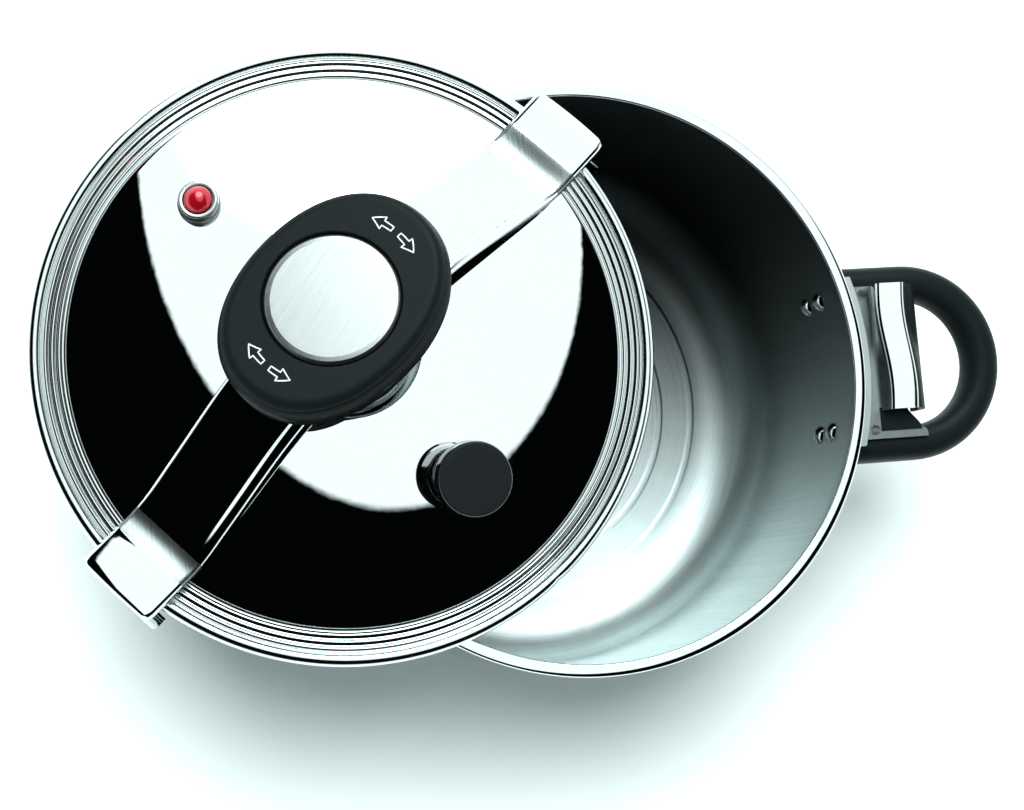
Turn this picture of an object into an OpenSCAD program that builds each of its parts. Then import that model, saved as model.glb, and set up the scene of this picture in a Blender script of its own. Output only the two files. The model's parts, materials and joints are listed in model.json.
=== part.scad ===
// Stovetop pressure cooker with a screw-down bridge lid.
// Origin: centre of the base on the hob. +Z up, +X towards the right handle.
// The lid group is drawn where it sits when closed, with its own zero on the
// rim plane, and is then laid askew across the pot, as it is put down when open.

/* [Pot] */
// Inside diameter of the pot
pot_bore = 220; // [190:1:270]
// Height of the rim above the hob
pot_height = 127; // [104:1:180]
// Thickness of the pot wall
pot_wall = 1.2; // [0.8:0.1:2]
// Width of the flat rim outside the bore
rim_lip = 5; // [4:0.5:8]
// Thickness of the rim
rim_thick = 2; // [1.2:0.1:2.4]
// Radius between wall and floor
floor_round = 26; // [15:1:32]
// Thickness of the heat-spreading disc
disc_thick = 5; // [3:0.5:9]
// Thickness of the steel cap under the disc
cap_thick = 0.8; // [0.6:0.1:1.5]

/* [Brackets and handles] */
// Thickness of the catch plate
catch_thick = 2; // [1.5:0.1:2.5]
// Half width of the catch plate
catch_half = 34; // [30:1:38]
// Thickness of the bracket sheet
bracket_thick = 2; // [1.5:0.1:2.5]
// Half width of the bracket
bracket_half = 31; // [28:1:34]
// Height of the guard tongue above the bracket floor
tongue_rise = 9; // [5:1:11]
// Radius of the handle bar
handle_bar_r = 8.5; // [7:0.5:9.5]
// Radius of the handle's curve along its centre line
handle_bend_r = 31.5; // [28:0.5:38]
// Shank diameter of the wall rivets
rivet_d = 4.8; // [4:0.2:5.6]
// Head diameter of the wall rivets
rivet_head_d = 8; // [7:0.2:9]
// Shank diameter of the handle screws
screw_d = 4.4; // [3.6:0.2:5]

/* [Lid] */
// How far the lid reaches past the rim
lid_over = 1.5; // [1.4:0.1:3]
// Thickness of the lid sheet
lid_sheet = 0.8; // [0.6:0.1:1]
// Depth of the skirt below the rim plane
skirt_drop = 4; // [2:0.5:6]
// Height of the dome above its edge
dome_rise = 13; // [8:1:18]
// Radius of the sunk centre
sunk_r = 26; // [22:1:40]
// Depth of the sunk centre below the top of the dome
sunk_depth = 6; // [4:0.5:7]
// Width of the gasket
gasket_w = 10.8; // [9:0.2:11]

/* [Bridge] */
// Width of the bridge
bridge_w = 33.3; // [28:0.1:40]
// Thickness of the bridge sheet
bridge_thick = 3; // [2.5:0.1:4]
// Height of the bridge's middle above the rim plane
bridge_top = 46; // [42:1:50]
// Height of the flat end pads above the rim plane
pad_top = 17; // [16.5:0.5:19]
// Half length of the raised middle
bridge_mid = 24; // [20:1:30]
// Length of each flat end pad
pad_len = 19; // [14:1:24]
// Grip of each hook's toe under the catch
toe_grip = 2.3; // [1.5:0.1:3]
// Thickness of the toe
toe_thick = 2.2; // [1.8:0.1:3]

/* [Knob and spindle] */
// Diameter of the spindle
spindle_d = 12; // [10:0.5:13]
// Long diameter of the knob
knob_long = 90; // [76:1:104]
// Short diameter of the knob
knob_short = 69; // [60:1:80]
// Height of the knob
knob_h = 17.5; // [14:0.5:22]
// Diameter of the steel disc in the knob
knob_disc_d = 48; // [38:1:54]

/* [Valves] */
// Radius at which the pressure weight stands
weight_at = 62.6; // [55:0.2:72]
// Diameter of the pressure weight
weight_d = 28; // [24:1:34]
// Height of the pressure weight above the dome
weight_h = 26; // [22:1:34]
// Bore of the steam pipe
steam_d = 3; // [2:0.5:4]
// Radius at which the pressure indicator stands
indicator_at = 76.1; // [66:0.1:84]
// Diameter of the indicator's red head
indicator_d = 10.6; // [8:0.2:11]

/* [Fits] */
// Gap between pieces that move past each other
move_gap = 0.3; // [0.25:0.05:0.5]
// Gap between pieces fixed together
fixed_gap = 0.05; // [0.02:0.01:0.1]
// Running clearance on a thread or shaft, on the radius
run_gap = 0.1; // [0.05:0.01:0.1]

/* [Lid put down askew] */
// Distance from the pot's axis to the lid's centre
lay_dist = 94.2; // [88:0.1:98]
// Direction of the lid's centre from the pot's axis, in degrees
lay_dir = 171.5; // [165:0.5:178]
// Height of the lid's own zero above the rim plane
lay_up = 3.6; // [3:0.1:9]
// Tilt of the lid away from the pot, in degrees
lay_tilt = 5; // [2:0.5:6]
// Direction of the bridge, in degrees
bridge_dir = 42; // [36:1:48]
// Roll of the slack bridge about its length, in degrees
bridge_roll = 15; // [0:1:15]
// How far the slack bridge has dropped
bridge_slack = 2.5; // [2:0.1:3]

/* [Hidden] */
$fn = 96;
eps = 0.01;
big = 400;
bore_r = pot_bore / 2;
wall_r = bore_r + pot_wall;
rim_r = bore_r + rim_lip;
rim_z = pot_height;
floor_z = cap_thick + disc_thick + pot_wall;
base_r = bore_r - floor_round;

// catch and bracket, heights counted from the rim plane
catch_top = -skirt_drop - move_gap - 0.1;
catch_under = catch_top - catch_thick;
leg_thick = 1.2;
catch_r = rim_r + 3.8;
bracket_in_r = wall_r + leg_thick + 2 * fixed_gap;
bracket_out_r = bracket_in_r + bracket_thick;
rivet_rows = [-21.5, -35];
rivet_angle = 14;
rivet_head_h = 2.2;
catch_leg_z = -42;
bracket_leg_z = -48;
bridge_half = catch_r + 1 + bridge_thick;
tongue_x = bridge_half + 2.4;
bracket_floor = catch_under - move_gap - toe_thick - bridge_slack - 1.7;
bracket_under = bracket_floor - bracket_thick;
tongue_top = bracket_floor + tongue_rise;
tongue_run = 12;
flank_x = tongue_x + tongue_run + 8;
flank_z = bracket_under - 11;
tongue_end_y = -20;
handle_z = bracket_under - handle_bar_r - fixed_gap;
handle_x = flank_x - 3;
screw_x = bracket_out_r + 7.5;
screw_y = handle_bend_r - 4;
screw_head_r = 4.4;
screw_head_h = 2.6;

// lid, heights counted from the rim plane
lid_r = rim_r + lid_over;
panel_r = lid_r - 14;
panel_z = 5;
dome_top = panel_z + dome_rise;
dome_r = (panel_r * panel_r + dome_rise * dome_rise) / (2 * dome_rise);
sunk_z = dome_top - sunk_depth;
roll_r = 2.6;
roll_at = lid_r - roll_r;
flat_z = 2.6;
groove_pitch = 2.5;
dome_steps = 14;
window_angles = [129, -51.5];
window_r = 1.5;

// screw-down gear on the lid's axis
ball_r = 2.5;
ball_z = sunk_z + ball_r + 0.1;
foot_r = 7;
foot_top = 6.2;
cup_r = 11;
cup_h = 4.2;
cap_r = 9.5;
cap_from = ball_z + 4.6;
cap_to = ball_z + 15.4;
neck_r = spindle_d / 2 - 1;
neck_from = ball_z + 9;
boss_r = 12.5;
boss_drop = 8;
sleeve_r = spindle_d / 2 + 2;
knob_z = bridge_top + 4;
knob_top = knob_z + knob_h;
disc_seat = knob_top - 3.5;
insert_r = spindle_d / 2 + 3;
insert_top = disc_seat - 2;
spindle_top = insert_top - 1;
knob_points = 72;

// valves
weight_dir = -54;
indicator_dir = 131.4;
pipe_r = 4;
indicator_lift = 2.6;

function dome_z(r) = dome_top - dome_r + sqrt(dome_r * dome_r - r * r);
function dome_slope(r) = asin(r / dome_r);

// Points of an arc about (x, y) from angle a to angle b
function arc(x, y, r, a, b, steps) =
    [for (k = [0 : steps]) let (t = a + (b - a) * k / steps) [x + r * cos(t), y + r * sin(t)]];

// ---------- places ----------

module both_sides() {
    for (side = [0, 180]) rotate([0, 0, side]) children();
}

module on_rim() {
    translate([0, 0, rim_z]) children();
}

// The lid group, from closed to lying askew on the pot
module lid_askew() {
    translate([lay_dist * cos(lay_dir), lay_dist * sin(lay_dir), rim_z + lay_up])
        rotate(a = lay_tilt, v = [-sin(lay_dir), cos(lay_dir), 0])
            children();
}

// What turns with the bridge but stays upright on the lid
module turned() {
    lid_askew() rotate([0, 0, bridge_dir]) children();
}

// What also rolls about the thrust ball with the slack bridge
module rolled() {
    turned() translate([0, 0, ball_z]) rotate([-bridge_roll, 0, 0])
        translate([0, 0, -ball_z]) children();
}

// A spot on the dome, with Z along the dome's own normal
module on_dome(at, dir) {
    lid_askew() rotate([0, 0, dir]) translate([at, 0, dome_z(at)])
        rotate([0, dome_slope(at), 0]) children();
}

// A spot on the pot wall, with Z pointing straight out
module on_wall(angle, z) {
    rotate([0, 0, angle]) translate([0, 0, rim_z + z]) rotate([0, 90, 0]) children();
}

module at_rivets() {
    for (side = [0, 180], turn = [-rivet_angle, rivet_angle], z = rivet_rows)
        on_wall(side + turn, z) children();
}

module rivet_holes() {
    at_rivets() cylinder(d = rivet_d + 2 * fixed_gap, h = big);
}

module washer(outer, inner, from, to) {
    translate([0, 0, from]) difference() {
        cylinder(r = outer, h = to - from);
        translate([0, 0, -1]) cylinder(r = inner, h = to - from + 2);
    }
}

module hex_nut(across, inner, from, to) {
    translate([0, 0, from]) difference() {
        cylinder(r = across / 2 / cos(30), h = to - from, $fn = 6);
        translate([0, 0, -1]) cylinder(r = inner, h = to - from + 2);
    }
}

// ---------- pot ----------

// Half section of the pot: inside face down to the floor, outside face back up
module pot_profile() {
    lip = rim_thick / 2;
    polygon(concat(
        [[bore_r, rim_z]],
        arc(base_r, floor_z + floor_round, floor_round, 0, -90, 10),
        [[0, floor_z], [0, floor_z - pot_wall]],
        arc(base_r, floor_z + floor_round, floor_round + pot_wall, -90, 0, 10),
        [[wall_r, rim_z - rim_thick]],
        arc(rim_r - lip, rim_z - lip, lip, -90, 90, 8)));
}

module pot_shell() {
    color("silver") difference() {
        rotate_extrude() pot_profile();
        rivet_holes();
    }
}

module base_disc() {
    color("lightgray") translate([0, 0, cap_thick]) cylinder(r = base_r, h = disc_thick);
}

module base_cap() {
    rim = cap_thick + fixed_gap;
    color("gray") difference() {
        cylinder(r = base_r + rim, h = cap_thick + disc_thick - fixed_gap);
        translate([0, 0, cap_thick]) cylinder(r = base_r + fixed_gap, h = disc_thick);
    }
}

module ring_piece(inner, outer, from, to, half) {
    on_rim() translate([0, 0, from]) intersection() {
        difference() {
            cylinder(r = outer, h = to - from);
            translate([0, 0, -1]) cylinder(r = inner, h = to - from + 2);
        }
        translate([0, -half, -1]) cube([big, 2 * half, to - from + 2]);
    }
}

module catch_plate() {
    color("silver") difference() {
        union() {
            ring_piece(wall_r + fixed_gap, catch_r, catch_under, catch_top, catch_half);
            ring_piece(wall_r + fixed_gap, wall_r + fixed_gap + leg_thick, catch_leg_z,
                catch_top, catch_half);
        }
        rivet_holes();
    }
}

module catch_right() { catch_plate(); }
module catch_left() { rotate([0, 0, 180]) catch_plate(); }

// Side view of the raised tongue, from the floor plate over to the outer flank
module tongue_side() {
    t = bracket_thick;
    polygon([
        [tongue_x, bracket_under], [tongue_x, tongue_top - t], [tongue_x + t, tongue_top],
        [tongue_x + tongue_run, tongue_top], [flank_x, bracket_floor], [flank_x, bracket_under],
        [flank_x - t, bracket_under], [flank_x - t, bracket_floor - t / 2],
        [tongue_x + tongue_run - t / 2, tongue_top - t], [tongue_x + 1.4 * t, tongue_top - t],
        [tongue_x + t, tongue_top - 1.4 * t], [tongue_x + t, bracket_under]
    ]);
}

module bracket() {
    leg_w = bracket_half;
    pocket_y = tongue_end_y + bracket_half;
    color("darkgray") difference() {
        union() {
            ring_piece(bracket_in_r, bracket_out_r, bracket_leg_z, bracket_floor, leg_w);
            on_rim() difference() {
                translate([0, -leg_w, bracket_under])
                    cube([flank_x, 2 * leg_w, bracket_thick]);
                translate([0, 0, bracket_under - 1]) cylinder(r = bracket_in_r, h = 9);
                translate([tongue_x + bracket_thick, -leg_w + 3, bracket_under - 1])
                    cube([tongue_run + 2, 2 * leg_w - 6, 9]);
            }
            on_rim() translate([0, leg_w, 0]) rotate([90, 0, 0])
                linear_extrude(leg_w - tongue_end_y) tongue_side();
            on_rim() translate([flank_x - bracket_thick, -handle_bend_r + handle_bar_r + 1, flank_z])
                cube([bracket_thick, 2 * (handle_bend_r - handle_bar_r - 1), bracket_floor - flank_z]);
        }
        rivet_holes();
        on_rim() for (y = [-screw_y, screw_y]) translate([screw_x, y, bracket_under - 1])
            cylinder(d = screw_d + 2 * fixed_gap, h = 9);
    }
}

module bracket_right() { bracket(); }
module bracket_left() { rotate([0, 0, 180]) bracket(); }

module rivet_head(r, h) {
    cap = (r * r + h * h) / (2 * h);
    intersection() {
        translate([0, 0, h - cap]) sphere(cap);
        cylinder(r = r + 1, h = h + 1);
    }
}

module wall_rivets() {
    head_in = bore_r - 0.1;
    head_out = bracket_out_r + 0.1;
    color("silver") at_rivets() {
        translate([0, 0, head_in]) cylinder(d = rivet_d, h = head_out - head_in);
        translate([0, 0, head_out - eps]) rivet_head(rivet_head_d / 2, rivet_head_h);
        translate([0, 0, head_in + eps]) mirror([0, 0, 1]) rivet_head(rivet_head_d / 2, 2.4);
    }
}

module handle_blank() {
    on_rim() difference() {
        translate([0, 0, handle_z]) union() {
            translate([handle_x, 0, 0]) intersection() {
                rotate_extrude() translate([handle_bend_r, 0]) circle(handle_bar_r, $fn = 48);
                translate([0, -big, -big]) cube([big, 2 * big, 2 * big]);
            }
            for (y = [-handle_bend_r, handle_bend_r]) translate([bore_r - 10, y, 0])
                rotate([0, 90, 0]) cylinder(r = handle_bar_r, h = handle_x - bore_r + 10, $fn = 48);
        }
        translate([0, 0, -big / 2]) cylinder(r = bracket_out_r + 0.2, h = big);
        for (y = [-screw_y, screw_y]) translate([screw_x, y, handle_z]) {
            translate([0, 0, -big / 2]) cylinder(d = screw_d + 2 * fixed_gap, h = big);
            translate([0, 0, -big / 2]) cylinder(r = screw_head_r + fixed_gap,
                h = big / 2 - handle_bar_r + screw_head_h);
        }
    }
}

module handle() {
    color([0.08, 0.08, 0.09]) difference() {
        handle_blank();
        at_rivets() cylinder(r = rivet_head_d / 2 + move_gap, h = bracket_out_r + rivet_head_h + 0.5);
    }
}

module handle_right() { handle(); }
module handle_left() { rotate([0, 0, 180]) handle(); }

module handle_screws() {
    head = handle_z - handle_bar_r;
    color("silver") on_rim() both_sides() for (y = [-screw_y, screw_y])
        translate([screw_x, y, 0]) difference() {
            union() {
                translate([0, 0, head]) cylinder(d = screw_d, h = bracket_floor - head);
                translate([0, 0, head]) cylinder(r = screw_head_r, h = screw_head_h - fixed_gap);
            }
            translate([0, 0, head - 1]) cylinder(r = 1.8, h = 2.4, $fn = 6);
        }
}

// ---------- lid ----------

module thrust_ball() {
    color("silver") lid_askew() translate([0, 0, ball_z]) sphere(ball_r, $fn = 48);
}

// Half section of the lid: upper face from the middle out, under face back in
module lid_profile() {
    t = lid_sheet;
    flat_top = flat_z + t;
    inner_end = roll_r - t;
    meet = 180 - asin(t / roll_r);
    polygon(concat(
        [[0, sunk_z], [sunk_r - 3, sunk_z]],
        [for (k = [0 : dome_steps]) let (r = sunk_r + (panel_r - sunk_r) * k / dome_steps)
            [r, dome_z(r)]],
        [[panel_r + 0.5, flat_top]],
        [for (k = [1 : 3], edge = [[-0.9, 0], [-0.5, 0.7], [0.5, 0.7], [0.9, 0]])
            [panel_r + k * groove_pitch + edge[0], flat_top + edge[1]]],
        arc(roll_at, flat_z, roll_r, meet, 0, 12),
        [[lid_r, -skirt_drop], [lid_r - t, -skirt_drop]],
        arc(roll_at, flat_z, inner_end, 0, 180, 12),
        [[panel_r - 0.3, flat_z], [panel_r - 0.3, dome_z(panel_r) - t]],
        [for (k = [dome_steps - 1 : -1 : 0])
            let (r = sunk_r + 0.8 + (panel_r - sunk_r - 0.8) * k / dome_steps) [r, dome_z(r) - t]],
        [[sunk_r - 2.2, sunk_z - t], [0, sunk_z - t]]));
}

module lid_shell() {
    color("gainsboro") difference() {
        lid_askew() difference() {
            rotate_extrude($fn = 180) lid_profile();
            for (a = window_angles) rotate([0, 0, a]) translate([roll_at, 0, -skirt_drop / 2])
                rotate([0, 90, 0]) cylinder(r = window_r, h = 10);
        }
        on_dome(weight_at, weight_dir) translate([0, 0, -5]) cylinder(r = pipe_r + fixed_gap, h = 10);
        on_dome(indicator_at, indicator_dir) translate([0, 0, -5])
            cylinder(r = indicator_d / 2 - 0.3 + fixed_gap, h = 10);
    }
}

module lid_gasket() {
    outer = lid_r - lid_sheet - 0.3;
    inner = outer - gasket_w;
    lip = bore_r - 0.6;
    color("dimgray") lid_askew() {
        washer(outer, inner, move_gap, flat_z - 0.2);
        washer(lip, inner + 2, -3, move_gap + eps);
    }
}

module thrust_cup() {
    color("silver") lid_askew()
        washer(cup_r, foot_r + move_gap + 0.1, sunk_z + fixed_gap, sunk_z + cup_h);
}

module steam_pipe() {
    color("silver") on_dome(weight_at, weight_dir) difference() {
        union() {
            translate([0, 0, -9]) cylinder(r = pipe_r, h = 21);
            translate([0, 0, 12]) cylinder(r1 = pipe_r, r2 = pipe_r - 1.8, h = 2.5);
            translate([0, 0, 0.1]) cylinder(r = 8, h = 2.6);
        }
        translate([0, 0, -10]) cylinder(d = steam_d, h = big / 4);
    }
}

module steam_pipe_seal() {
    color("dimgray") on_dome(weight_at, weight_dir)
        washer(8, pipe_r + fixed_gap, -lid_sheet - 1.5, -lid_sheet - 0.1);
}

module steam_pipe_nut() {
    color("silver") on_dome(weight_at, weight_dir)
        hex_nut(14, pipe_r + fixed_gap, -lid_sheet - 5.5, -lid_sheet - 1.6);
}

module indicator_housing() {
    head_r = indicator_d / 2;
    color("silver") on_dome(indicator_at, indicator_dir) difference() {
        union() {
            translate([0, 0, 0.1]) cylinder(r = head_r + 2.7, h = 2.4);
            translate([0, 0, 2.4]) cylinder(r1 = head_r + 2.1, r2 = head_r + 0.9, h = 3);
            translate([0, 0, -5]) cylinder(r = head_r - 0.3, h = 6);
        }
        translate([0, 0, -6]) cylinder(r = 3 + move_gap, h = 20);
        translate([0, 0, 3]) cylinder(r = head_r + move_gap, h = 20);
    }
}

module indicator_seal() {
    color("dimgray") on_dome(indicator_at, indicator_dir)
        washer(8, indicator_d / 2 - 0.3 + fixed_gap, -lid_sheet - 0.9, -lid_sheet - 0.1);
}

module indicator_nut() {
    color("silver") on_dome(indicator_at, indicator_dir)
        hex_nut(15, indicator_d / 2 - 0.3 + fixed_gap, -lid_sheet - 3.8, -lid_sheet - 1);
}

module indicator_pin() {
    head_r = indicator_d / 2;
    color("crimson") on_dome(indicator_at, indicator_dir) {
        translate([0, 0, -9.2]) cylinder(r = 3, h = 13);
        translate([0, 0, 3 + move_gap]) cylinder(r = head_r, h = 2.2);
        translate([0, 0, 3 + move_gap + 2.2 - eps]) rivet_head(head_r - 0.2, 3.4);
    }
}

module indicator_clip() {
    color("silver") on_dome(indicator_at, indicator_dir)
        washer(5, 3 + fixed_gap, -5 - indicator_lift - 1.1, -5 - indicator_lift - 0.4);
}

module weight_cover() {
    r = weight_d / 2;
    wall = 2.2;
    color([0.05, 0.05, 0.06]) on_dome(weight_at, weight_dir) difference() {
        union() {
            translate([0, 0, 4]) cylinder(r1 = r - 2.5, r2 = r - 1, h = weight_h - 12);
            translate([0, 0, weight_h - 8 - eps]) cylinder(r1 = r - 1, r2 = r, h = 1.5);
            translate([0, 0, weight_h - 6.5 - 2 * eps]) cylinder(r = r, h = 5.5);
            translate([0, 0, weight_h - 1 - 3 * eps]) cylinder(r1 = r, r2 = r - 1, h = 1);
        }
        translate([0, 0, 3]) cylinder(r = r - 2.5 - wall, h = weight_h - 3 - wall);
    }
}

module weight_core() {
    r = weight_d / 2 - 4.7 - fixed_gap;
    color("silver") on_dome(weight_at, weight_dir) difference() {
        translate([0, 0, 5]) cylinder(r = r, h = weight_h - 7.3);
        translate([0, 0, 4]) cylinder(r = pipe_r + move_gap, h = 8 - move_gap);
        translate([0, 0, 12 - move_gap - eps])
            cylinder(r1 = pipe_r + move_gap, r2 = 0.6, h = 5.6);
    }
}

// ---------- screw-down bridge ----------

module swivel_foot() {
    color("silver") turned() translate([0, 0, ball_z]) difference() {
        intersection() {
            sphere(foot_r);
            translate([0, 0, -ball_r + 0.2]) cylinder(r = foot_r + 1, h = ball_r - 0.2 + foot_top);
        }
        translate([0, 0, -5]) cylinder(r = ball_r + move_gap, h = 5 + ball_r + move_gap);
    }
}

module swivel_cap() {
    color("silver") rolled() difference() {
        translate([0, 0, cap_from]) cylinder(r = cap_r, h = cap_to - cap_from);
        translate([0, 0, ball_z]) sphere(foot_r + move_gap);
        translate([0, 0, ball_z]) cylinder(r = neck_r + run_gap, h = big / 4);
    }
}

// Height of the bridge's upper face at x: flat middle, cosine slope, flat pad
function bridge_z(x) =
    let (slope_end = bridge_half - pad_len)
    x <= bridge_mid ? bridge_top :
    x >= slope_end ? pad_top :
    pad_top + (bridge_top - pad_top)
        * (0.5 + 0.5 * cos(180 * (x - bridge_mid) / (slope_end - bridge_mid)));

// A strip that follows the upper face from x = 0 to x = far, deeper where the bridge is high
module bridge_strip(far, above, deeper) {
    steps = 20;
    rise = bridge_top - pad_top;
    xs = concat([0], [for (k = [0 : steps]) bridge_mid + (far - bridge_mid) * k / steps]);
    polygon(concat([for (x = xs) [x, bridge_z(x) + above]],
        [for (k = [len(xs) - 1 : -1 : 0])
            [xs[k], bridge_z(xs[k]) - bridge_thick - deeper * (bridge_z(xs[k]) - pad_top) / rise]]));
}

module bridge_half_side() {
    t = bridge_thick;
    toe_top = catch_under - move_gap - 0.1;
    bridge_strip(bridge_half - 4, 0, 0);
    difference() {
        union() {
            translate([bridge_half - t, toe_top - toe_thick])
                square([t, pad_top - t - toe_top + toe_thick]);
            translate([bridge_half - 4 - eps, pad_top - 4]) circle(4 + eps, $fn = 48);
            translate([bridge_half - t - toe_grip - 1, toe_top - toe_thick])
                square([t + toe_grip, toe_thick]);
        }
        translate([-big, pad_top - 4 - t]) square([big + bridge_half - t, 4]);
        translate([-big, toe_top]) square([big + bridge_half - t, pad_top - t - toe_top]);
    }
}

module bridge_slice(width) {
    rotate([90, 0, 0]) translate([0, 0, -width / 2]) linear_extrude(width) {
        children();
        mirror([1, 0]) children();
    }
}

module bridge() {
    lip_w = 3;
    color("gainsboro") rolled() translate([0, 0, -bridge_slack]) difference() {
        union() {
            bridge_slice(bridge_w) bridge_half_side();
            for (side = [-1, 1]) translate([0, side * (bridge_w - lip_w) / 2, 0])
                bridge_slice(lip_w) bridge_strip(bridge_half - pad_len - 2, 1.5, 5);
        }
        translate([0, 0, bridge_top - 12]) cylinder(r = sleeve_r + fixed_gap, h = 20);
    }
}

module bridge_nut() {
    under = bridge_top - bridge_thick - fixed_gap;
    color("silver") rolled() translate([0, 0, -bridge_slack]) difference() {
        union() {
            translate([0, 0, under - boss_drop]) cylinder(r = boss_r, h = boss_drop);
            translate([0, 0, under - eps]) cylinder(r = sleeve_r, h = bridge_thick + fixed_gap);
        }
        translate([0, 0, under - boss_drop - 1]) cylinder(d = spindle_d + 2 * run_gap, h = 20);
    }
}

module spindle() {
    color("silver") rolled() difference() {
        union() {
            translate([0, 0, neck_from]) cylinder(r = neck_r, h = cap_to - neck_from + 1);
            translate([0, 0, cap_to + move_gap])
                cylinder(d = spindle_d, h = spindle_top - cap_to - move_gap);
        }
        translate([0, 0, spindle_top - 11]) cylinder(r = 2.5 + fixed_gap, h = 12);
    }
}

module knob_insert() {
    color("goldenrod") rolled() difference() {
        translate([0, 0, knob_z + 1])
            cylinder(r = insert_r / cos(30), h = insert_top - knob_z - 1, $fn = 6);
        translate([0, 0, knob_z]) cylinder(d = spindle_d + 2 * fixed_gap, h = spindle_top - knob_z);
        translate([0, 0, knob_z]) cylinder(r = 2.5 + fixed_gap, h = 30);
    }
}

// Rounded oval of the knob at one level, drawn in by inset
module knob_oval(inset, from, to) {
    a = knob_long / 2 - inset;
    b = knob_short / 2 - inset;
    p = 2 / 2.15;
    translate([0, 0, from]) linear_extrude(to - from) polygon([
        for (k = [0 : knob_points - 1]) let (t = 360 * k / knob_points)
            [a * sign(cos(t)) * pow(abs(cos(t)), p), b * sign(sin(t)) * pow(abs(sin(t)), p)]]);
}

module knob_grip() {
    color([0.06, 0.06, 0.07]) rolled() difference() {
        hull() {
            knob_oval(3.5, knob_z, knob_z + 0.5);
            knob_oval(0.6, knob_z + 4, knob_z + 5);
            knob_oval(0, knob_z + 9, knob_z + 10);
            knob_oval(1.2, knob_top - 3, knob_top - 2.5);
            knob_oval(4.5, knob_top - 0.5, knob_top);
        }
        translate([0, 0, disc_seat]) cylinder(d = knob_disc_d + 2 * fixed_gap, h = 20);
        translate([0, 0, insert_top - eps]) cylinder(r = insert_r - 1, h = 20);
        translate([0, 0, knob_z - 1])
            cylinder(r = (insert_r + fixed_gap) / cos(30), h = insert_top - knob_z + 1, $fn = 6);
    }
}

module knob_screw() {
    color("silver") rolled() {
        translate([0, 0, spindle_top - 10]) cylinder(r = 2.5, h = insert_top - spindle_top + 11);
        translate([0, 0, insert_top + eps]) cylinder(r = 5, h = 1.8);
    }
}

module knob_disc() {
    r = knob_disc_d / 2;
    color("whitesmoke") rolled() {
        translate([0, 0, disc_seat + fixed_gap]) cylinder(r = r, h = 3.1);
        translate([0, 0, disc_seat + fixed_gap + 3.1 - eps]) cylinder(r1 = r - 0.2, r2 = r - 1, h = 0.6);
    }
}

pot_shell();
base_disc();
base_cap();
catch_right();
catch_left();
bracket_right();
bracket_left();
wall_rivets();
handle_right();
handle_left();
handle_screws();
thrust_ball();
lid_shell();
lid_gasket();
thrust_cup();
steam_pipe();
steam_pipe_seal();
steam_pipe_nut();
indicator_housing();
indicator_seal();
indicator_nut();
swivel_foot();
swivel_cap();
bridge();
bridge_nut();
spindle();
knob_insert();
knob_grip();
knob_screw();
knob_disc();
weight_cover();
weight_core();
indicator_pin();
indicator_clip();
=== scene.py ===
"""Looks of a stovetop pressure cooker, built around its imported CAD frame.

Every new piece is a surface of two parameters worked out in millimetres in the
piece's own place, and put into a mesh in metres. The places come from the
frame's joints, so the lid, the bridge and the valves follow the CAD model.
"""
import json
import math
from types import SimpleNamespace

import bmesh
import bpy
import numpy as np
from bpy.props import FloatProperty, FloatVectorProperty, PointerProperty
from bpy.types import Operator, Panel, PropertyGroup
from mathutils import Matrix, Vector


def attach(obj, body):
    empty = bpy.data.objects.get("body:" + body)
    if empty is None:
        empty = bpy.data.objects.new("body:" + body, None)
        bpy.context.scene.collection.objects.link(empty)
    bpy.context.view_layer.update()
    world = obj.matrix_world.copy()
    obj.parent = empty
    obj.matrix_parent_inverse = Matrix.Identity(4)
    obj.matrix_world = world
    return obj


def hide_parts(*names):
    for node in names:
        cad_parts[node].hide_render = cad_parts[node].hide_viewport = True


bl_info = {
    "name": "Pressure Cooker Looks",
    "version": (1, 0, 0),
    "blender": (4, 5, 0),
    "location": "View3D > Sidebar > Cooker",
    "description": "Builds the visible surfaces and finishes of a stovetop pressure cooker",
    "category": "Object",
}

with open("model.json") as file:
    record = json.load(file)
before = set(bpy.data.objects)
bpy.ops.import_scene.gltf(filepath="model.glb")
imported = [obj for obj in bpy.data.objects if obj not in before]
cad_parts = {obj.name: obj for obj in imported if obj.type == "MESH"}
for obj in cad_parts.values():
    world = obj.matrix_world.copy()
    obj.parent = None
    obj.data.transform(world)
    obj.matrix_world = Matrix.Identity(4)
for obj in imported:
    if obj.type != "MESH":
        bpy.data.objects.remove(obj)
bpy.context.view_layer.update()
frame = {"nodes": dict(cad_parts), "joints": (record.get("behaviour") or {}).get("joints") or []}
JOINTS = {joint["name"]: joint for joint in frame["joints"]}
MM = 0.001
SHARP_ANGLE = math.radians(32)
MERGE = 2e-6


# ---------------------------------------------------------------- sizes


def length(name, description, millimetres):
    """A length property, given in millimetres and kept in metres."""
    return FloatProperty(name=name, description=description, default=millimetres * MM,
                         min=0.0, unit="LENGTH", precision=4)


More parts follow.
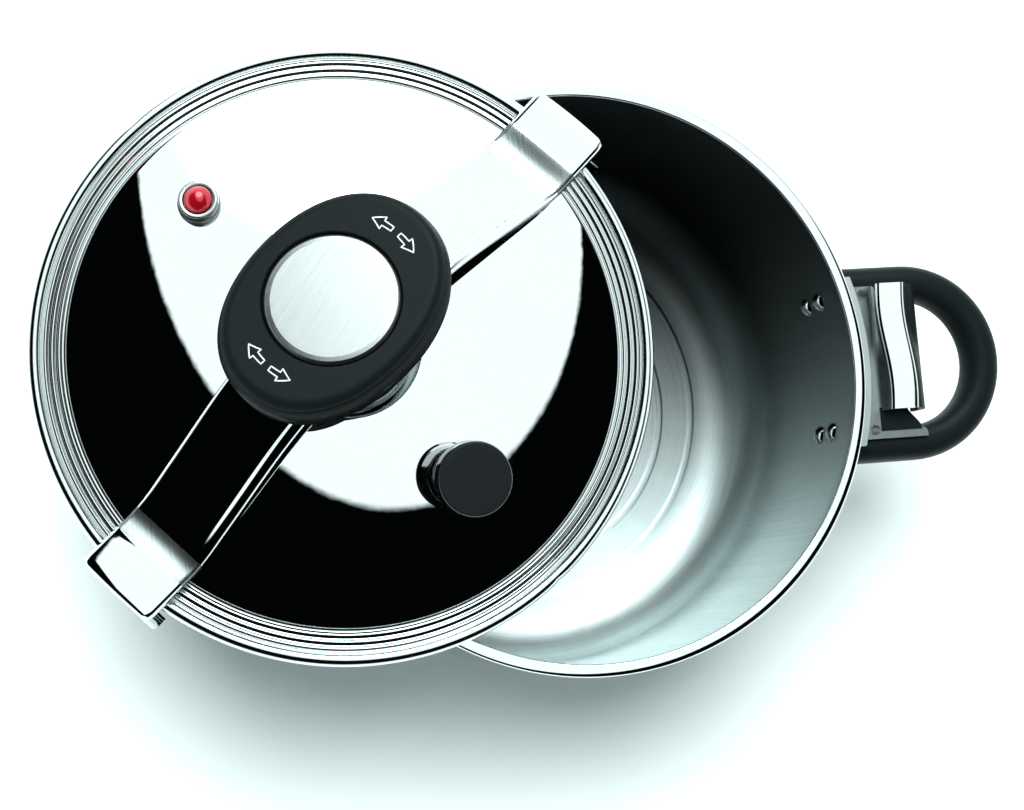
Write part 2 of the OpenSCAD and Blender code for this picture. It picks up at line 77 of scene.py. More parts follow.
class CookerPot(PropertyGroup):
    """Sizes of the pot and its handles."""

    bore_r: length("Bore radius", "Inside radius of the pot", 110)
    rim_z: length("Rim height", "Height of the rim above the hob", 127)
    wall: length("Wall", "Thickness of the pot wall", 1.2)
    lip: length("Lip", "Width of the flat rim outside the bore", 5)
    rim_thick: length("Rim thickness", "Thickness of the rim", 2)
    floor_z: length("Floor height", "Height of the floor's upper face", 7)
    floor_round: length("Floor radius", "Radius between wall and floor", 26)
    cap_h: length("Cap height", "Height of the steel cap round the base disc", 5.75)
    bracket_r: length("Bracket radius", "Inside radius of the bracket's leg", 112.5)
    sheet: length("Bracket sheet", "Thickness of the bracket sheet", 2)
    bracket_half: length("Bracket half width", "Half width of the bracket", 31)
    bracket_floor: length("Bracket drop", "Depth of the bracket's floor below the rim", 13.1)
    tongue_rise: length("Tongue rise", "Height of the guard tongue above the floor", 9)
    tongue_x: length("Tongue place", "Distance from the axis to the guard tongue", 125.2)
    tongue_run: length("Tongue width", "Width of the flat top of the tongue", 12)
    handle_x: length("Handle place", "Distance from the axis to the handle's bend", 142.2)
    handle_bend: length("Handle bend", "Radius of the handle's bend on its centre line", 32.8)
    handle_wide: length("Handle width", "Half width of the handle bar seen from above", 7.2)
    handle_deep: length("Handle depth", "Half height of the handle bar", 8.5)
    rivet_r: length("Rivet head", "Radius of a rivet's head", 4)


class CookerLid(PropertyGroup):
    """Sizes of the lid and its valves."""

    edge_r: length("Lid radius", "Radius of the lid's rolled edge", 116.5)
    sheet: length("Lid sheet", "Thickness of the lid sheet", 0.8)
    panel_r: length("Panel radius", "Radius at which the dome meets the grooved flat", 102.5)
    panel_z: length("Panel edge height", "Height of the dome's edge above the rim plane", 5)
    rise: length("Dome rise", "Height of the dome above its edge", 13)
    sunk_r: length("Sunk radius", "Radius of the sunk centre", 26)
    sunk_deep: length("Sunk depth", "Depth of the sunk centre below the dome's top", 6)
    flat_z: length("Flat height", "Height of the grooved flat's under face", 2.6)
    skirt: length("Skirt", "Depth of the skirt below the rim plane", 4)
    ball_z: length("Ball height", "Height of the thrust ball above the rim plane", 14.6)
    weight_r: length("Weight radius", "Radius of the pressure weight", 14)
    weight_h: length("Weight height", "Height of the weight above the dome", 26)
    pin_r: length("Indicator radius", "Radius of the indicator's red head", 5.3)


class CookerBridge(PropertyGroup):
    """Sizes of the bridge and the knob."""

    half: length("Bridge half length", "Half length over the hooks", 122.8)
    width: length("Bridge width", "Width of the bridge", 33.3)
    sheet: length("Bridge sheet", "Thickness of the bridge sheet", 3)
    top: length("Bridge top", "Height of the bridge's middle above the rim plane", 46)
    pad_top: length("Pad height", "Height of the end pads above the rim plane", 17)
    middle: length("Middle", "Half length of the raised middle", 24)
    pad: length("Pad length", "Length of each end pad", 19)
    slack: length("Slack", "How far the slack bridge has dropped", 2.5)
    toe_z: length("Toe depth", "Depth of the toe's under face below the rim plane", 9)
    spindle_r: length("Spindle radius", "Radius of the spindle's thread", 6)
    knob_long: length("Knob length", "Long diameter of the knob", 90)
    knob_short: length("Knob width", "Short diameter of the knob", 69)
    knob_z: length("Knob place", "Height of the knob's under face", 50)
    knob_h: length("Knob height", "Height of the knob", 17.5)
    disc_r: length("Disc radius", "Radius of the steel disc in the knob", 24)


def colour(name, description, value):
    """A colour property, linear RGB."""
    return FloatVectorProperty(name=name, description=description, default=value,
                               min=0.0, max=1.0, size=3, subtype="COLOR")


class CookerColours(PropertyGroup):
    """Base colours of the finishes."""

    steel: colour("Steel", "Polished stainless steel", (0.84, 0.885, 0.885))
    satin: colour("Satin steel", "Brushed stainless steel", (0.56, 0.62, 0.62))
    black: colour("Phenolic", "Matt black phenolic", (0.0065, 0.0088, 0.0091))
    gloss: colour("Gloss black", "Gloss black plastic", (0.005, 0.006, 0.0065))
    red: colour("Red", "Indicator red", (0.62, 0.006, 0.022))
    mark: colour("Marking", "White print on the knob", (0.82, 0.86, 0.86))
    silicone: colour("Silicone", "Grey silicone rubber", (0.22, 0.235, 0.24))
    brass: colour("Brass", "Turned brass", (0.72, 0.52, 0.25))
    aluminium: colour("Aluminium", "Plain aluminium", (0.70, 0.72, 0.73))
    floor: colour("Floor", "Pale studio floor", (0.93, 0.95, 0.95))


def in_mm(group):
    """The lengths of a property group as plain numbers in millimetres."""
    names = group.bl_rna.properties.keys()
    return SimpleNamespace(**{n: getattr(group, n) / MM for n in names
                              if isinstance(getattr(group, n), float)})


# ---------------------------------------------------------------- places


class Place:
    """A spot with axes of its own: local millimetres go in, metres come out."""

    def __init__(self, origin, z, x):
        self.origin = np.array(origin, float)
        self.z = np.array(z, float) / np.linalg.norm(z)
        across = np.cross(self.z, np.array(x, float))
        self.y = across / np.linalg.norm(across)
        self.x = np.cross(self.y, self.z)

    def points(self, local):
        """Local points in millimetres, as points of the frame in metres."""
        return self.origin + MM * (np.asarray(local, float) @ np.stack([self.x, self.y, self.z]))

    def moved(self, x=0.0, y=0.0, z=0.0, turn=0.0):
        """This place shifted along its own axes, then turned about its own Z by turn degrees."""
        a = math.radians(turn)
        direction = self.x * math.cos(a) + self.y * math.sin(a)
        return Place(self.points([x, y, z]), self.z, direction)


def joint_axis(name):
    """The unit axis of a joint of the frame."""
    return np.array(JOINTS[name]["axis"], float)


POT = Place((0, 0, 0), (0, 0, 1), (1, 0, 0))


def lid_place(lid):
    """The lid's own zero, on its axis a ball height below the thrust ball, X along the bridge."""
    z = -joint_axis("bridge_turn")
    ball = np.array(JOINTS["bridge_turn"]["pos_m"], float)
    return Place(ball - MM * lid.ball_z * z, z, joint_axis("bridge_rock"))


def rolled_place(lid):
    """The zero of what rolls with the slack bridge about the thrust ball."""
    z = joint_axis("bridge_rise")
    ball = np.array(JOINTS["bridge_turn"]["pos_m"], float)
    return Place(ball - MM * lid.ball_z * z, z, joint_axis("bridge_rock"))


def dome_radius(lid):
    """Radius of the sphere that a dome of this rise over this edge radius belongs to."""
    return (lid.panel_r ** 2 + lid.rise ** 2) / (2 * lid.rise)


def dome_height(lid, r):
    """Height of the dome's upper face at a distance r from the lid's axis."""
    radius = dome_radius(lid)
    return lid.panel_z + lid.rise - radius + np.sqrt(radius ** 2 - np.asarray(r, float) ** 2)


def valve_place(lid, joint):
    """A spot on the dome whose Z is the joint's axis: the dome's normal passes through its centre."""
    base = lid_place(lid)
    radius = dome_radius(lid)
    centre = base.points([0, 0, lid.panel_z + lid.rise - radius])
    z = joint_axis(joint)
    return Place(centre + MM * radius * z, z, base.x)


# ---------------------------------------------------------------- surfaces


def smoothstep(x, low, high):
    """0 below low, 1 above high, and a smooth cubic between."""
    t = np.clip((np.asarray(x, float) - low) / (high - low), 0, 1)
    return t * t * (3 - 2 * t)


def arc(centre, radius, start, end, steps=10):
    """Points of an arc about a centre, from one angle to another, in degrees."""
    a = np.radians(np.linspace(start, end, steps + 1))
    return np.stack([centre[0] + radius * np.cos(a), centre[1] + radius * np.sin(a)], -1)


def corner(before, point, after, radius, steps):
    """The arc that rounds one corner of an outline, tangent to both of its edges."""
    p = np.array(point, float)
    a = np.array(before, float) - p
    b = np.array(after, float) - p
    la, lb = np.linalg.norm(a), np.linalg.norm(b)
    if radius <= 0 or la < 1e-9 or lb < 1e-9:
        return p[None]
    a, b = a / la, b / lb
    half = math.acos(float(np.clip(a @ b, -1, 1))) / 2
    if half > math.radians(88) or half < math.radians(2):
        return p[None]
    reach = min(radius / math.tan(half), 0.48 * la, 0.48 * lb)
    centre = p + (a + b) / np.linalg.norm(a + b) * reach / math.cos(half)
    first, last = p + a * reach - centre, p + b * reach - centre
    start = math.atan2(first[1], first[0])
    turn = (math.atan2(last[1], last[0]) - start + math.pi) % (2 * math.pi) - math.pi
    return arc(centre, np.linalg.norm(first), math.degrees(start), math.degrees(start + turn), steps)


def rounded(outline, closed=False, steps=5):
    """An outline of (x, y, corner radius) rows with each corner replaced by its arc."""
    rows = [tuple(row) + (0,) * (3 - len(row)) for row in outline]
    n = len(rows)
    parts = []
    for i, (x, y, radius) in enumerate(rows):
        end = not closed and i in (0, n - 1)
        before, after = rows[i - 1][:2], rows[(i + 1) % n][:2]
        parts.append(np.array([[x, y]], float) if end else corner(before, (x, y), after, radius, steps))
    return np.concatenate(parts)


def dense(outline, step):
    """An outline with points added so that no edge is longer than step."""
    outline = np.asarray(outline, float)
    spans = np.maximum(1, np.ceil(np.linalg.norm(np.diff(outline, axis=0), axis=1) / step).astype(int))
    places = np.concatenate([i + np.arange(n) / n for i, n in enumerate(spans)] + [[len(spans)]])
    index = np.arange(len(outline))
    return np.stack([np.interp(places, index, outline[:, k]) for k in range(outline.shape[1])], -1)


def lathe(outline, around=96):
    """A profile of (radius, height) rows carried round the Z axis, as a grid of local points."""
    outline = np.asarray(outline, float)
    angle = np.linspace(0, 2 * math.pi, around, endpoint=False)
    r, z = outline[:, 0, None], outline[:, 1, None]
    return np.stack([r * np.cos(angle), r * np.sin(angle), z + 0 * angle], -1)


def slab(upper, lower):
    """The closed grid between two faces of a sheet; the first and last rows meet on the middle."""
    loops = np.concatenate([upper, lower[:, ::-1]], axis=1)
    middle = (loops + loops[:, ::-1]) / 2
    return np.concatenate([middle[:1], loops, middle[-1:]], axis=0)


def grid_faces(rows, columns, wrap_rows, start):
    """Corner indices of the quads of a grid whose columns close on themselves."""
    last = rows if wrap_rows else rows - 1
    i, j = np.meshgrid(np.arange(last), np.arange(columns), indexing="ij")
    down, right = (i + 1) % rows, (j + 1) % columns
    quads = np.stack([i * columns + j, down * columns + j, down * columns + right, i * columns + right], -1)
    return quads.reshape(-1, 4) + start


def tidy_mesh(mesh):
    """Merges what coincides, drops faces with no area and turns every face outwards."""
    work = bmesh.new()
    work.from_mesh(mesh)
    bmesh.ops.remove_doubles(work, verts=work.verts, dist=MERGE)
    bmesh.ops.dissolve_degenerate(work, edges=work.edges, dist=MERGE / 2)
    bmesh.ops.recalc_face_normals(work, faces=work.faces)
    work.to_mesh(mesh)
    work.free()


def piece(name, place, grids, finishes, body, replaces=(), rings=False, zones=None):
    """Makes one piece of the cooker from grids of local points, each closed across its columns.

    rings says that the rows close too, as on a ring. zones gives each row of the
    first grid the index of its finish.
    """
    old = bpy.data.objects.get(name)
    if old is not None:
        bpy.data.objects.remove(old)
    grids = grids if isinstance(grids, list) else [grids]
    points = [place.points(g.reshape(-1, 3)) for g in grids]
    starts = np.cumsum([0] + [len(p) for p in points[:-1]])
    quads = [grid_faces(g.shape[0], g.shape[1], rings, s) for g, s in zip(grids, starts)]
    corners = np.concatenate(quads)
    mesh = bpy.data.meshes.new(name)
    mesh.vertices.add(sum(len(p) for p in points))
    mesh.vertices.foreach_set("co", np.concatenate(points).astype(np.float32).ravel())
    mesh.loops.add(corners.size)
    mesh.loops.foreach_set("vertex_index", corners.astype(np.int32).ravel())
    mesh.polygons.add(len(corners))
    mesh.polygons.foreach_set("loop_start", np.arange(0, corners.size, 4, dtype=np.int32))
    for finish in finishes:
        mesh.materials.append(finish)
    if zones is not None:
        index = np.repeat(np.asarray(zones, np.int32)[:len(quads[0]) // grids[0].shape[1]],
                          grids[0].shape[1])
        mesh.polygons.foreach_set("material_index", index)
    mesh.update(calc_edges=True)
    tidy_mesh(mesh)
    mesh.shade_smooth()
    mesh.set_sharp_from_angle(angle=SHARP_ANGLE)
    made = bpy.data.objects.new(name, mesh)
    bpy.context.scene.collection.objects.link(made)
    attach(made, body)
    if replaces:
        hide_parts(*replaces)
    return made


# ---------------------------------------------------------------- finishes


class Socket:
    """A shader socket that takes part in Python arithmetic; each operator adds a Math node."""

    def __init__(self, nodes, output):
        self.nodes = nodes
        self.output = output

    def math(self, operation, *others):
        return self.nodes.add("ShaderNodeMath", {"operation": operation}, [self, *others])

    def __add__(self, other):
        return self.math("ADD", other)

    def __radd__(self, other):
        return self.math("ADD", other)

    def __sub__(self, other):
        return self.math("SUBTRACT", other)

    def __rsub__(self, other):
        return self.math("MULTIPLY", -1).math("ADD", other)

    def __mul__(self, other):
        return self.math("MULTIPLY", other)

    def __rmul__(self, other):
        return self.math("MULTIPLY", other)

    def __truediv__(self, other):
        return self.math("DIVIDE", other)

    def clipped(self, low=0.0, high=1.0):
        """This value kept between two limits."""
        return self.math("MAXIMUM", low).math("MINIMUM", high)

    def between(self, low, high):
        """0 at low, 1 at high, smooth between; low may be the greater one."""
        return self.nodes.add("ShaderNodeMapRange", {"interpolation_type": "SMOOTHSTEP"},
                              {"Value": self, "From Min": low, "From Max": high})


class Nodes:
    """The node tree of one finish or of the world."""

    def __init__(self, tree):
        self.tree = tree
        tree.nodes.clear()

    def add(self, kind, settings=None, inputs=None, output=0):
        """A node of this kind: its settings first, then its sockets' values or links."""
        node = self.tree.nodes.new(kind)
        for name, value in (settings or {}).items():
            if name == "stops":
                self.set_stops(node.color_ramp, value)
            else:
                setattr(node, name, value)
        pairs = inputs.items() if isinstance(inputs, dict) else enumerate(inputs or [])
        for key, value in pairs:
            self.join(node.inputs[key], value)
        return Socket(self, node.outputs[output]) if node.outputs else None

    def join(self, socket, value):
        """Links a Socket, or sets a plain value."""
        if isinstance(value, Socket):
            self.tree.links.new(value.output, socket)
        elif isinstance(value, (tuple, list)) and len(value) == 3 and socket.type == "RGBA":
            socket.default_value = (*value, 1.0)
        else:
            socket.default_value = value

    @staticmethod
    def set_stops(ramp, stops):
        """Puts the (place, grey) stops into a colour ramp."""
        while len(ramp.elements) < len(stops):
            ramp.elements.new(1.0)
        for element, (place, grey) in zip(ramp.elements, stops):
            element.position = place
            element.color = (grey, grey, grey, 1.0)

    def object_point(self):
        """The point in the frame's own coordinates, as its vector and its three numbers."""
        point = self.add("ShaderNodeTexCoord", output="Object")
        split = self.add("ShaderNodeSeparateXYZ", None, [point]).output.node
        return point, [Socket(self, split.outputs[k]) for k in range(3)]

    def vector(self, x, y, z):
        return self.add("ShaderNodeCombineXYZ", None, [x, y, z])

    def noise(self, vector, scale, detail=3.0, rough=0.55):
        """Noise from 0 to 1."""
        return self.add("ShaderNodeTexNoise", None,
                        {"Vector": vector, "Scale": scale, "Detail": detail, "Roughness": rough})

    def bump(self, height, strength, distance):
        """A normal from a height in metres times distance."""
        return self.add("ShaderNodeBump", None,
                        {"Height": height, "Strength": strength, "Distance": distance})

    def tinted(self, factor, dark, light):
        """A colour between two colours."""
        return self.add("ShaderNodeMix", {"data_type": "RGBA"}, {0: factor, 6: dark, 7: light}, output=2)

    def surface(self, **inputs):
        """The shader and the material output; underscores in the names stand for spaces."""
        named = {key.replace("_", " "): value for key, value in inputs.items()}
        shader = self.add("ShaderNodeBsdfPrincipled", None, named)
        self.add("ShaderNodeOutputMaterial", None, {"Surface": shader})


def finish(name, build, *values):
    """The material of this name, made once by its own function."""
    found = bpy.data.materials.get(name)
    if found is not None:
        return found
    made = bpy.data.materials.new(name)
    made.use_nodes = True
    build(Nodes(made.node_tree), *values)
    return made


def shade(base, factor):
    """A colour made lighter or darker."""
    return tuple(min(1.0, c * factor) for c in base)


def polished(nodes, base, dull=0.0):
    """Mirror-polished steel: faint cloudy haze from the buffing wheel, and hair-fine wipe marks.

    dull is added to the roughness where a pressed edge is less bright than the panel.
    """
    point, (x, y, z) = nodes.object_point()
    cloud = nodes.noise(point, 26, 4, 0.6)
    hair = nodes.noise(nodes.vector(x * 60 + y * 45, (y - x) * 900, z * 300), 1.0, 2)
    haze = nodes.noise(point, 420, 2)
    roughness = 0.008 + dull + 0.022 * cloud.between(0.45, 0.8) + 0.012 * hair.between(0.55, 0.8)
    nodes.surface(Base_Color=nodes.tinted(cloud * 0.6 + haze * 0.4, shade(base, 0.965), shade(base, 1.02)),
                  Metallic=1.0, Roughness=roughness,
                  Normal=nodes.bump(hair * 0.01 + cloud, 0.05, 0.0006))


def satin_inside(nodes, base):
    """Brushed inside of the pot: upright strokes on the wall, round strokes on the floor, and painted light
    and shade in the base colour, lighter towards -y and darker towards +y.
    """
    _, (x, y, z) = nodes.object_point()
    radius = (x * x + y * y).math("SQRT")
    across, along = x / (radius + 1e-5), y / (radius + 1e-5)
    strokes = nodes.noise(nodes.vector(across * 210, along * 210, z * 9), 1.0, 4, 0.7)
    rings = nodes.noise(nodes.vector(radius * 2600, across * 1.5, along * 1.5), 1.0, 4, 0.7)
    broad = nodes.noise(nodes.vector(across * 3, along * 3, z * 14), 1.0, 3)
    wall = z.between(0.018, 0.036)
    grain = strokes * wall + rings * (1 - wall)
    # painted light and shade: tint is 1 on the -y side and 0 on the +y side of the pot, where the wall and
    # floor lie in shade
    tint = (x * 0.12 + y * 0.99).between(0.080, -0.058)
    brushing_and_painted_light = tint * (0.42 + grain * 0.55 + broad * 0.4)
    # the base colour runs from deep painted shade (0.09 of the steel) to painted light (1.5 of the steel)
    nodes.surface(Base_Color=nodes.tinted(brushing_and_painted_light.clipped(), shade(base, 0.09), shade(base, 1.5)),
                  Metallic=1.0, Roughness=0.30 + 0.14 * grain + 0.08 * broad,
                  Normal=nodes.bump(grain, 0.22, 0.00035))


def satin_sheet(nodes, base):
    """Brushed steel sheet with fine straight strokes and a little blotching."""
    point, (x, y, z) = nodes.object_point()
    strokes = nodes.noise(nodes.vector(x * 1500, y * 50, z * 60), 1.0, 4, 0.7)
    blotch = nodes.noise(point, 75, 3)
    tone = (strokes * 0.6 + blotch * 0.5).clipped()
    nodes.surface(Base_Color=nodes.tinted(tone, shade(base, 0.72), shade(base, 1.22)),
                  Metallic=1.0, Roughness=0.20 + 0.14 * strokes + 0.10 * blotch,
                  Normal=nodes.bump(strokes, 0.18, 0.0003))


def turned(nodes, base):
    """Machined metal: fine tool marks stacked along Z and a slightly uneven sheen."""
    point, (x, y, z) = nodes.object_point()
    marks = nodes.noise(nodes.vector(x * 40, y * 40, z * 2600), 1.0, 2)
    cloud = nodes.noise(point, 90, 3)
    tone = (marks * 0.5 + cloud * 0.5).clipped()
    nodes.surface(Base_Color=nodes.tinted(tone, shade(base, 0.8), shade(base, 1.12)),
                  Metallic=1.0, Roughness=0.2 + 0.16 * cloud + 0.1 * marks,
                  Normal=nodes.bump(marks, 0.15, 0.0002))


def phenolic(nodes, base):
    """Moulded phenolic: fine matt grain, slightly polished where hands rub it."""
    point, _ = nodes.object_point()
    grain = nodes.noise(point, 2600, 3, 0.7)
    rub = nodes.noise(point, 34, 3)
    nodes.surface(Base_Color=nodes.tinted(grain, shade(base, 0.5), shade(base, 1.5)),
                  Roughness=0.28 + 0.10 * rub + 0.08 * grain, Specular_IOR_Level=0.07,
                  Normal=nodes.bump(grain, 0.22, 0.0001))


def gloss(nodes, base):
    """Gloss moulded plastic with a soft ripple and light handling marks."""
    point, _ = nodes.object_point()
    ripple = nodes.noise(point, 60, 2)
    marks = nodes.noise(point, 900, 3)
    nodes.surface(Base_Color=nodes.tinted(ripple, shade(base, 0.8), shade(base, 1.3)),
                  Roughness=0.07 + 0.07 * marks.between(0.5, 0.9),
                  Coat_Weight=0.5, Coat_Roughness=0.04, Normal=nodes.bump(ripple, 0.05, 0.0006))


def satin_black(nodes, base):
    """Satin top of the weight: an even fine grain."""
    point, _ = nodes.object_point()
    grain = nodes.noise(point, 1800, 3, 0.7)
    nodes.surface(Base_Color=nodes.tinted(grain, shade(base, 1.2), shade(base, 2.4)),
                  Roughness=0.30 + 0.1 * grain, Specular_IOR_Level=0.1,
                  Normal=nodes.bump(grain, 0.3, 0.0001))


def red_lacquer(nodes, base):
    """Clear gloss over metallic red."""
    point, _ = nodes.object_point()
    flake = nodes.noise(point, 1500, 2)
    nodes.surface(Base_Color=nodes.tinted(flake, shade(base, 0.62), shade(base, 1.2)),
                  Metallic=0.55, Roughness=0.16 + 0.1 * flake,
                  Coat_Weight=1.0, Coat_Roughness=0.02, Normal=nodes.bump(flake, 0.06, 0.0001))


def rubber(nodes, base):
    """Moulded silicone: dull, with a bloom."""
    point, _ = nodes.object_point()
    bloom = nodes.noise(point, 110, 4)
    nodes.surface(Base_Color=nodes.tinted(bloom, shade(base, 0.8), shade(base, 1.25)),
                  Roughness=0.5 + 0.15 * bloom, Normal=nodes.bump(bloom, 0.15, 0.0004))


def print_ink(nodes, base):
    """Printed white marking, a little worn."""
    point, _ = nodes.object_point()
    wear = nodes.noise(point, 1400, 4, 0.7)
    nodes.surface(Base_Color=nodes.tinted(wear.between(0.3, 0.62), shade(base, 0.5), base),
                  Roughness=0.5 + 0.1 * wear, Normal=nodes.bump(wear, 0.2, 0.0001))


def studio_floor(nodes, base):
    """Plain pale studio floor with a very faint mottle."""
    point, _ = nodes.object_point()
    mottle = nodes.noise(point, 9, 3)
    nodes.surface(Base_Color=nodes.tinted(mottle, shade(base, 0.985), base), Roughness=0.6)


def finishes():
    """Every finish of the cooker by name."""
    c = bpy.context.scene.cooker_colours
    return SimpleNamespace(
        polished=finish("mirror_steel", polished, tuple(c.steel)),
        # the pot's inside finish, with painted light and shade in its base colour
        inside=finish("satin_inside_steel", satin_inside, tuple(c.satin)),
        sheet=finish("satin_sheet_steel", satin_sheet, tuple(c.satin)),
        turned=finish("turned_steel", turned, shade(c.satin, 1.1)),
        disc=finish("spun_steel", turned, shade(c.steel, 0.5)),
        edge=finish("pressed_edge_steel", polished, shade(c.steel, 0.93), 0.11),
        outer=finish("outer_wall_steel", polished, shade(c.steel, 0.72)),
        # a darker copy of the satin sheet, used as painted shade on the bracket plates and in the bridge's
        # creases
        dark=finish("dull_sheet_steel", satin_sheet, shade(c.satin, 0.5)),
        phenolic=finish("matt_phenolic", phenolic, tuple(c.black)),
        gloss=finish("gloss_black", gloss, tuple(c.gloss)),
        satin_black=finish("satin_black", satin_black, tuple(c.gloss)),
        red=finish("red_lacquer", red_lacquer, tuple(c.red)),
        mark=finish("white_print", print_ink, tuple(c.mark)),
        silicone=finish("grey_silicone", rubber, tuple(c.silicone)),
        brass=finish("turned_brass", turned, tuple(c.brass)),
        aluminium=finish("plain_aluminium", turned, tuple(c.aluminium)),
    )


# ---------------------------------------------------------------- pot


def pot_outline(pot):
    """Inside face from the floor's middle to the rim, over the lip and down the outside to the base."""
    base_r = pot.bore_r - pot.floor_round
    lip = pot.rim_thick / 2
    bead = 0.35
    beads = [[(r - 1.6, pot.floor_z, 1.2), (r - 0.7, pot.floor_z + bead, 0.8),
              (r + 0.7, pot.floor_z + bead, 0.8), (r + 1.6, pot.floor_z, 1.2)] for r in (38.0, 66.5, 81.0)]
    inside = rounded([(0, pot.floor_z)] + sum(beads, []) + [(base_r, pot.floor_z)])
    corner_in = arc((base_r, pot.floor_z + pot.floor_round), pot.floor_round, -90, 0, 16)
    edge = arc((pot.bore_r + 0.8, pot.rim_z - 0.8), 0.8, 180, 90, 5)
    roll = arc((pot.bore_r + pot.lip - lip, pot.rim_z - lip), lip, 90, -90, 8)
    neck = np.array([[pot.bore_r + pot.wall, pot.rim_z - pot.rim_thick]])
    corner_out = arc((base_r, pot.floor_z + pot.floor_round), pot.floor_round + pot.wall, 0, -90, 16)
    under = np.array([[0, pot.floor_z - pot.wall]])
    inner = dense(np.concatenate([inside, corner_in[1:], edge]), 6)
    outer = dense(np.concatenate([edge[-1:], roll, neck, corner_out, under]), 8)[1:]
    return inner, outer


def build_pot(pot, look):
    """The pot's shell, satin inside and polished outside, and the cap under its base."""
    inner, outer = pot_outline(pot)
    outline = np.concatenate([inner, outer])
    edge_rows, roll_rows = 5, 9
    zones = np.r_[np.zeros(len(inner) - edge_rows, int), np.ones(edge_rows + roll_rows, int),
                  np.full(len(outer) - roll_rows, 2)]
    piece("pot_body", POT, lathe(outline, 224), [look.inside, look.polished, look.outer], "pot",
          ["pot_shell"], zones=zones)
    r = pot.bore_r - pot.floor_round + 0.85
    cap = rounded([(0, 0.5), (18, 0.5, 2), (19, 0, 1), (r, 0, 1.6), (r, pot.cap_h, 0.4),
                   (r - 0.8, pot.cap_h, 0.2), (r - 0.8, 0.8), (0, 0.8)])
    piece("base_cover", POT, lathe(dense(cap, 8), 160), [look.sheet], "pot", ["base_cap"])


def rivet_grids(pot, sides):
    """Each rivet as a lathe about a spoke of the pot: an inside dome, the shank and an outside dome."""
    inner, outer = pot.bore_r - 0.1, pot.bracket_r + pot.sheet + 0.1
    shank, head, tall = 2.4, pot.rivet_r, 2.4
    cap = (head ** 2 + tall ** 2) / (2 * tall)
    spread = math.degrees(math.asin(head / cap))
    dome = arc((0, cap), cap, -90, -90 + spread, 8)
    outline = np.concatenate([dome + [0, inner - tall], [[shank, inner], [shank, outer]],
                              (dome * [1, -1])[::-1] + [0, outer + 2.1]])
    spin = lathe(outline, 32)
    grids = []
    for side in sides:
        for turn in (-14, 14):
            for drop in (21.5, 35):
                a = math.radians(side + turn)
                out = np.array([math.cos(a), math.sin(a), 0])
                level = np.array([-math.sin(a), math.cos(a), 0])
                axes = np.stack([level, np.cross(out, level), out])
                grids.append(spin @ axes + [0, 0, pot.rim_z - drop])
    return grids


def build_rivets(pot, look):
    """The eight wall rivets."""
    piece("rivets", POT, rivet_grids(pot, (0, 180)), [look.polished], "pot",
          ["wall_rivets"])


def bracket_plate(pot, across=44):
    """The bracket's leg and floor: a section up the wall, round a bend and out, slid across the width."""
    y = np.linspace(-pot.bracket_half, pot.bracket_half, across)
    wall = np.sqrt(pot.bracket_r ** 2 - y ** 2) + pot.sheet
    reach = pot.tongue_x + 1 + 18.5 * (1 - smoothstep(y, -pot.bracket_half + 2, -19))
    floor = pot.rim_z - pot.bracket_floor
    leg_end = pot.rim_z - 48
    bend = 2.6
    a = np.radians(np.linspace(180, 90, 7))[:, None]
    leg = np.linspace(leg_end, floor - bend, 8)[:, None]
    run = np.linspace(0, 1, 12)[1:, None]
    start = wall + bend
    x = np.concatenate([wall + 0 * leg, start + bend * np.cos(a[1:]), start + run * (reach - start)])
    z = np.concatenate([leg + 0 * y, floor - bend + bend * np.sin(a[1:]) + 0 * y, floor + 0 * run * y])
    return np.stack([x, y + 0 * x, z], -1)


def bracket_tongue(pot, across=40):
    """The raised tongue: over the slot and down the flank, its sides waving in and out along the width."""
    y = np.linspace(-20, pot.bracket_half - 0.2, across)
    wave = 1.3 * np.sin((y + 20) / 51 * math.pi * 1.7 + 0.5)
    floor = pot.rim_z - pot.bracket_floor
    top = floor + pot.tongue_rise
    x0, x1 = pot.tongue_x, pot.tongue_x + pot.tongue_run
    flank = pot.tongue_x + pot.tongue_run + 8
    section = dense(rounded([(x0, floor - 1.5), (x0 + 0.3, top, 2.2), (x1, top, 3), (flank, floor - 1, 5),
                             (flank, floor - 12)], steps=6), 2.5)
    lift = (section[:, 1] > floor + 3)[:, None]
    x = section[:, :1] + wave * lift
    return np.stack([x, y + 0 * x, section[:, 1:] + 0 * x], -1)


def bracket_pad(pot, across=14):
    """The black moulded pad in the slot's open end, a thin plate with a curved outer end."""
    y = np.linspace(-28, -18.5, across)
    start = pot.tongue_x - 0.5
    reach = start + 17.5 - 6 * smoothstep(y, -28, -18)
    x = start + np.linspace(0, 1, 10)[:, None] * (reach - start)
    upper = np.stack([x, y + 0 * x, pot.rim_z - pot.bracket_floor + 0.5 + 0 * x], -1)
    return slab(upper, upper - [0, 0, 0.45])


def thickened(upper, thick):
    """A sheet's two faces: the given one and one that lies thick below it along its normals."""
    du, dv = np.gradient(upper, axis=0), np.gradient(upper, axis=1)
    normal = np.cross(dv, du)
    normal /= np.linalg.norm(normal, axis=-1, keepdims=True) + 1e-12
    return slab(upper, upper - thick * normal)


def build_brackets(pot, look):
    """Both brackets, each a satin plate with a polished tongue over the hook's slot; the plate's darker steel
    is painted shade.
    """
    plate = thickened(bracket_plate(pot), -pot.sheet)
    tongue = thickened(bracket_tongue(pot), -pot.sheet)
    outer = tongue[:, tongue.shape[1] // 4, 0] > pot.tongue_x + pot.tongue_run - 0.5
    pad = bracket_pad(pot)
    for side, turn in (("right", 0), ("left", 180)):
        place = POT.moved(turn=turn)
        # the bracket plate takes the darker sheet: painted shade under the tongue
        piece(f"bracket_plate_{side}", place, plate, [look.dark], "pot",
              [f"bracket_{side}"])
        piece(f"bracket_tongue_{side}", place, tongue, [look.polished, look.phenolic], "pot",
              zones=outer.astype(int))
        piece(f"bracket_pad_{side}", place, pad, [look.phenolic], "pot")


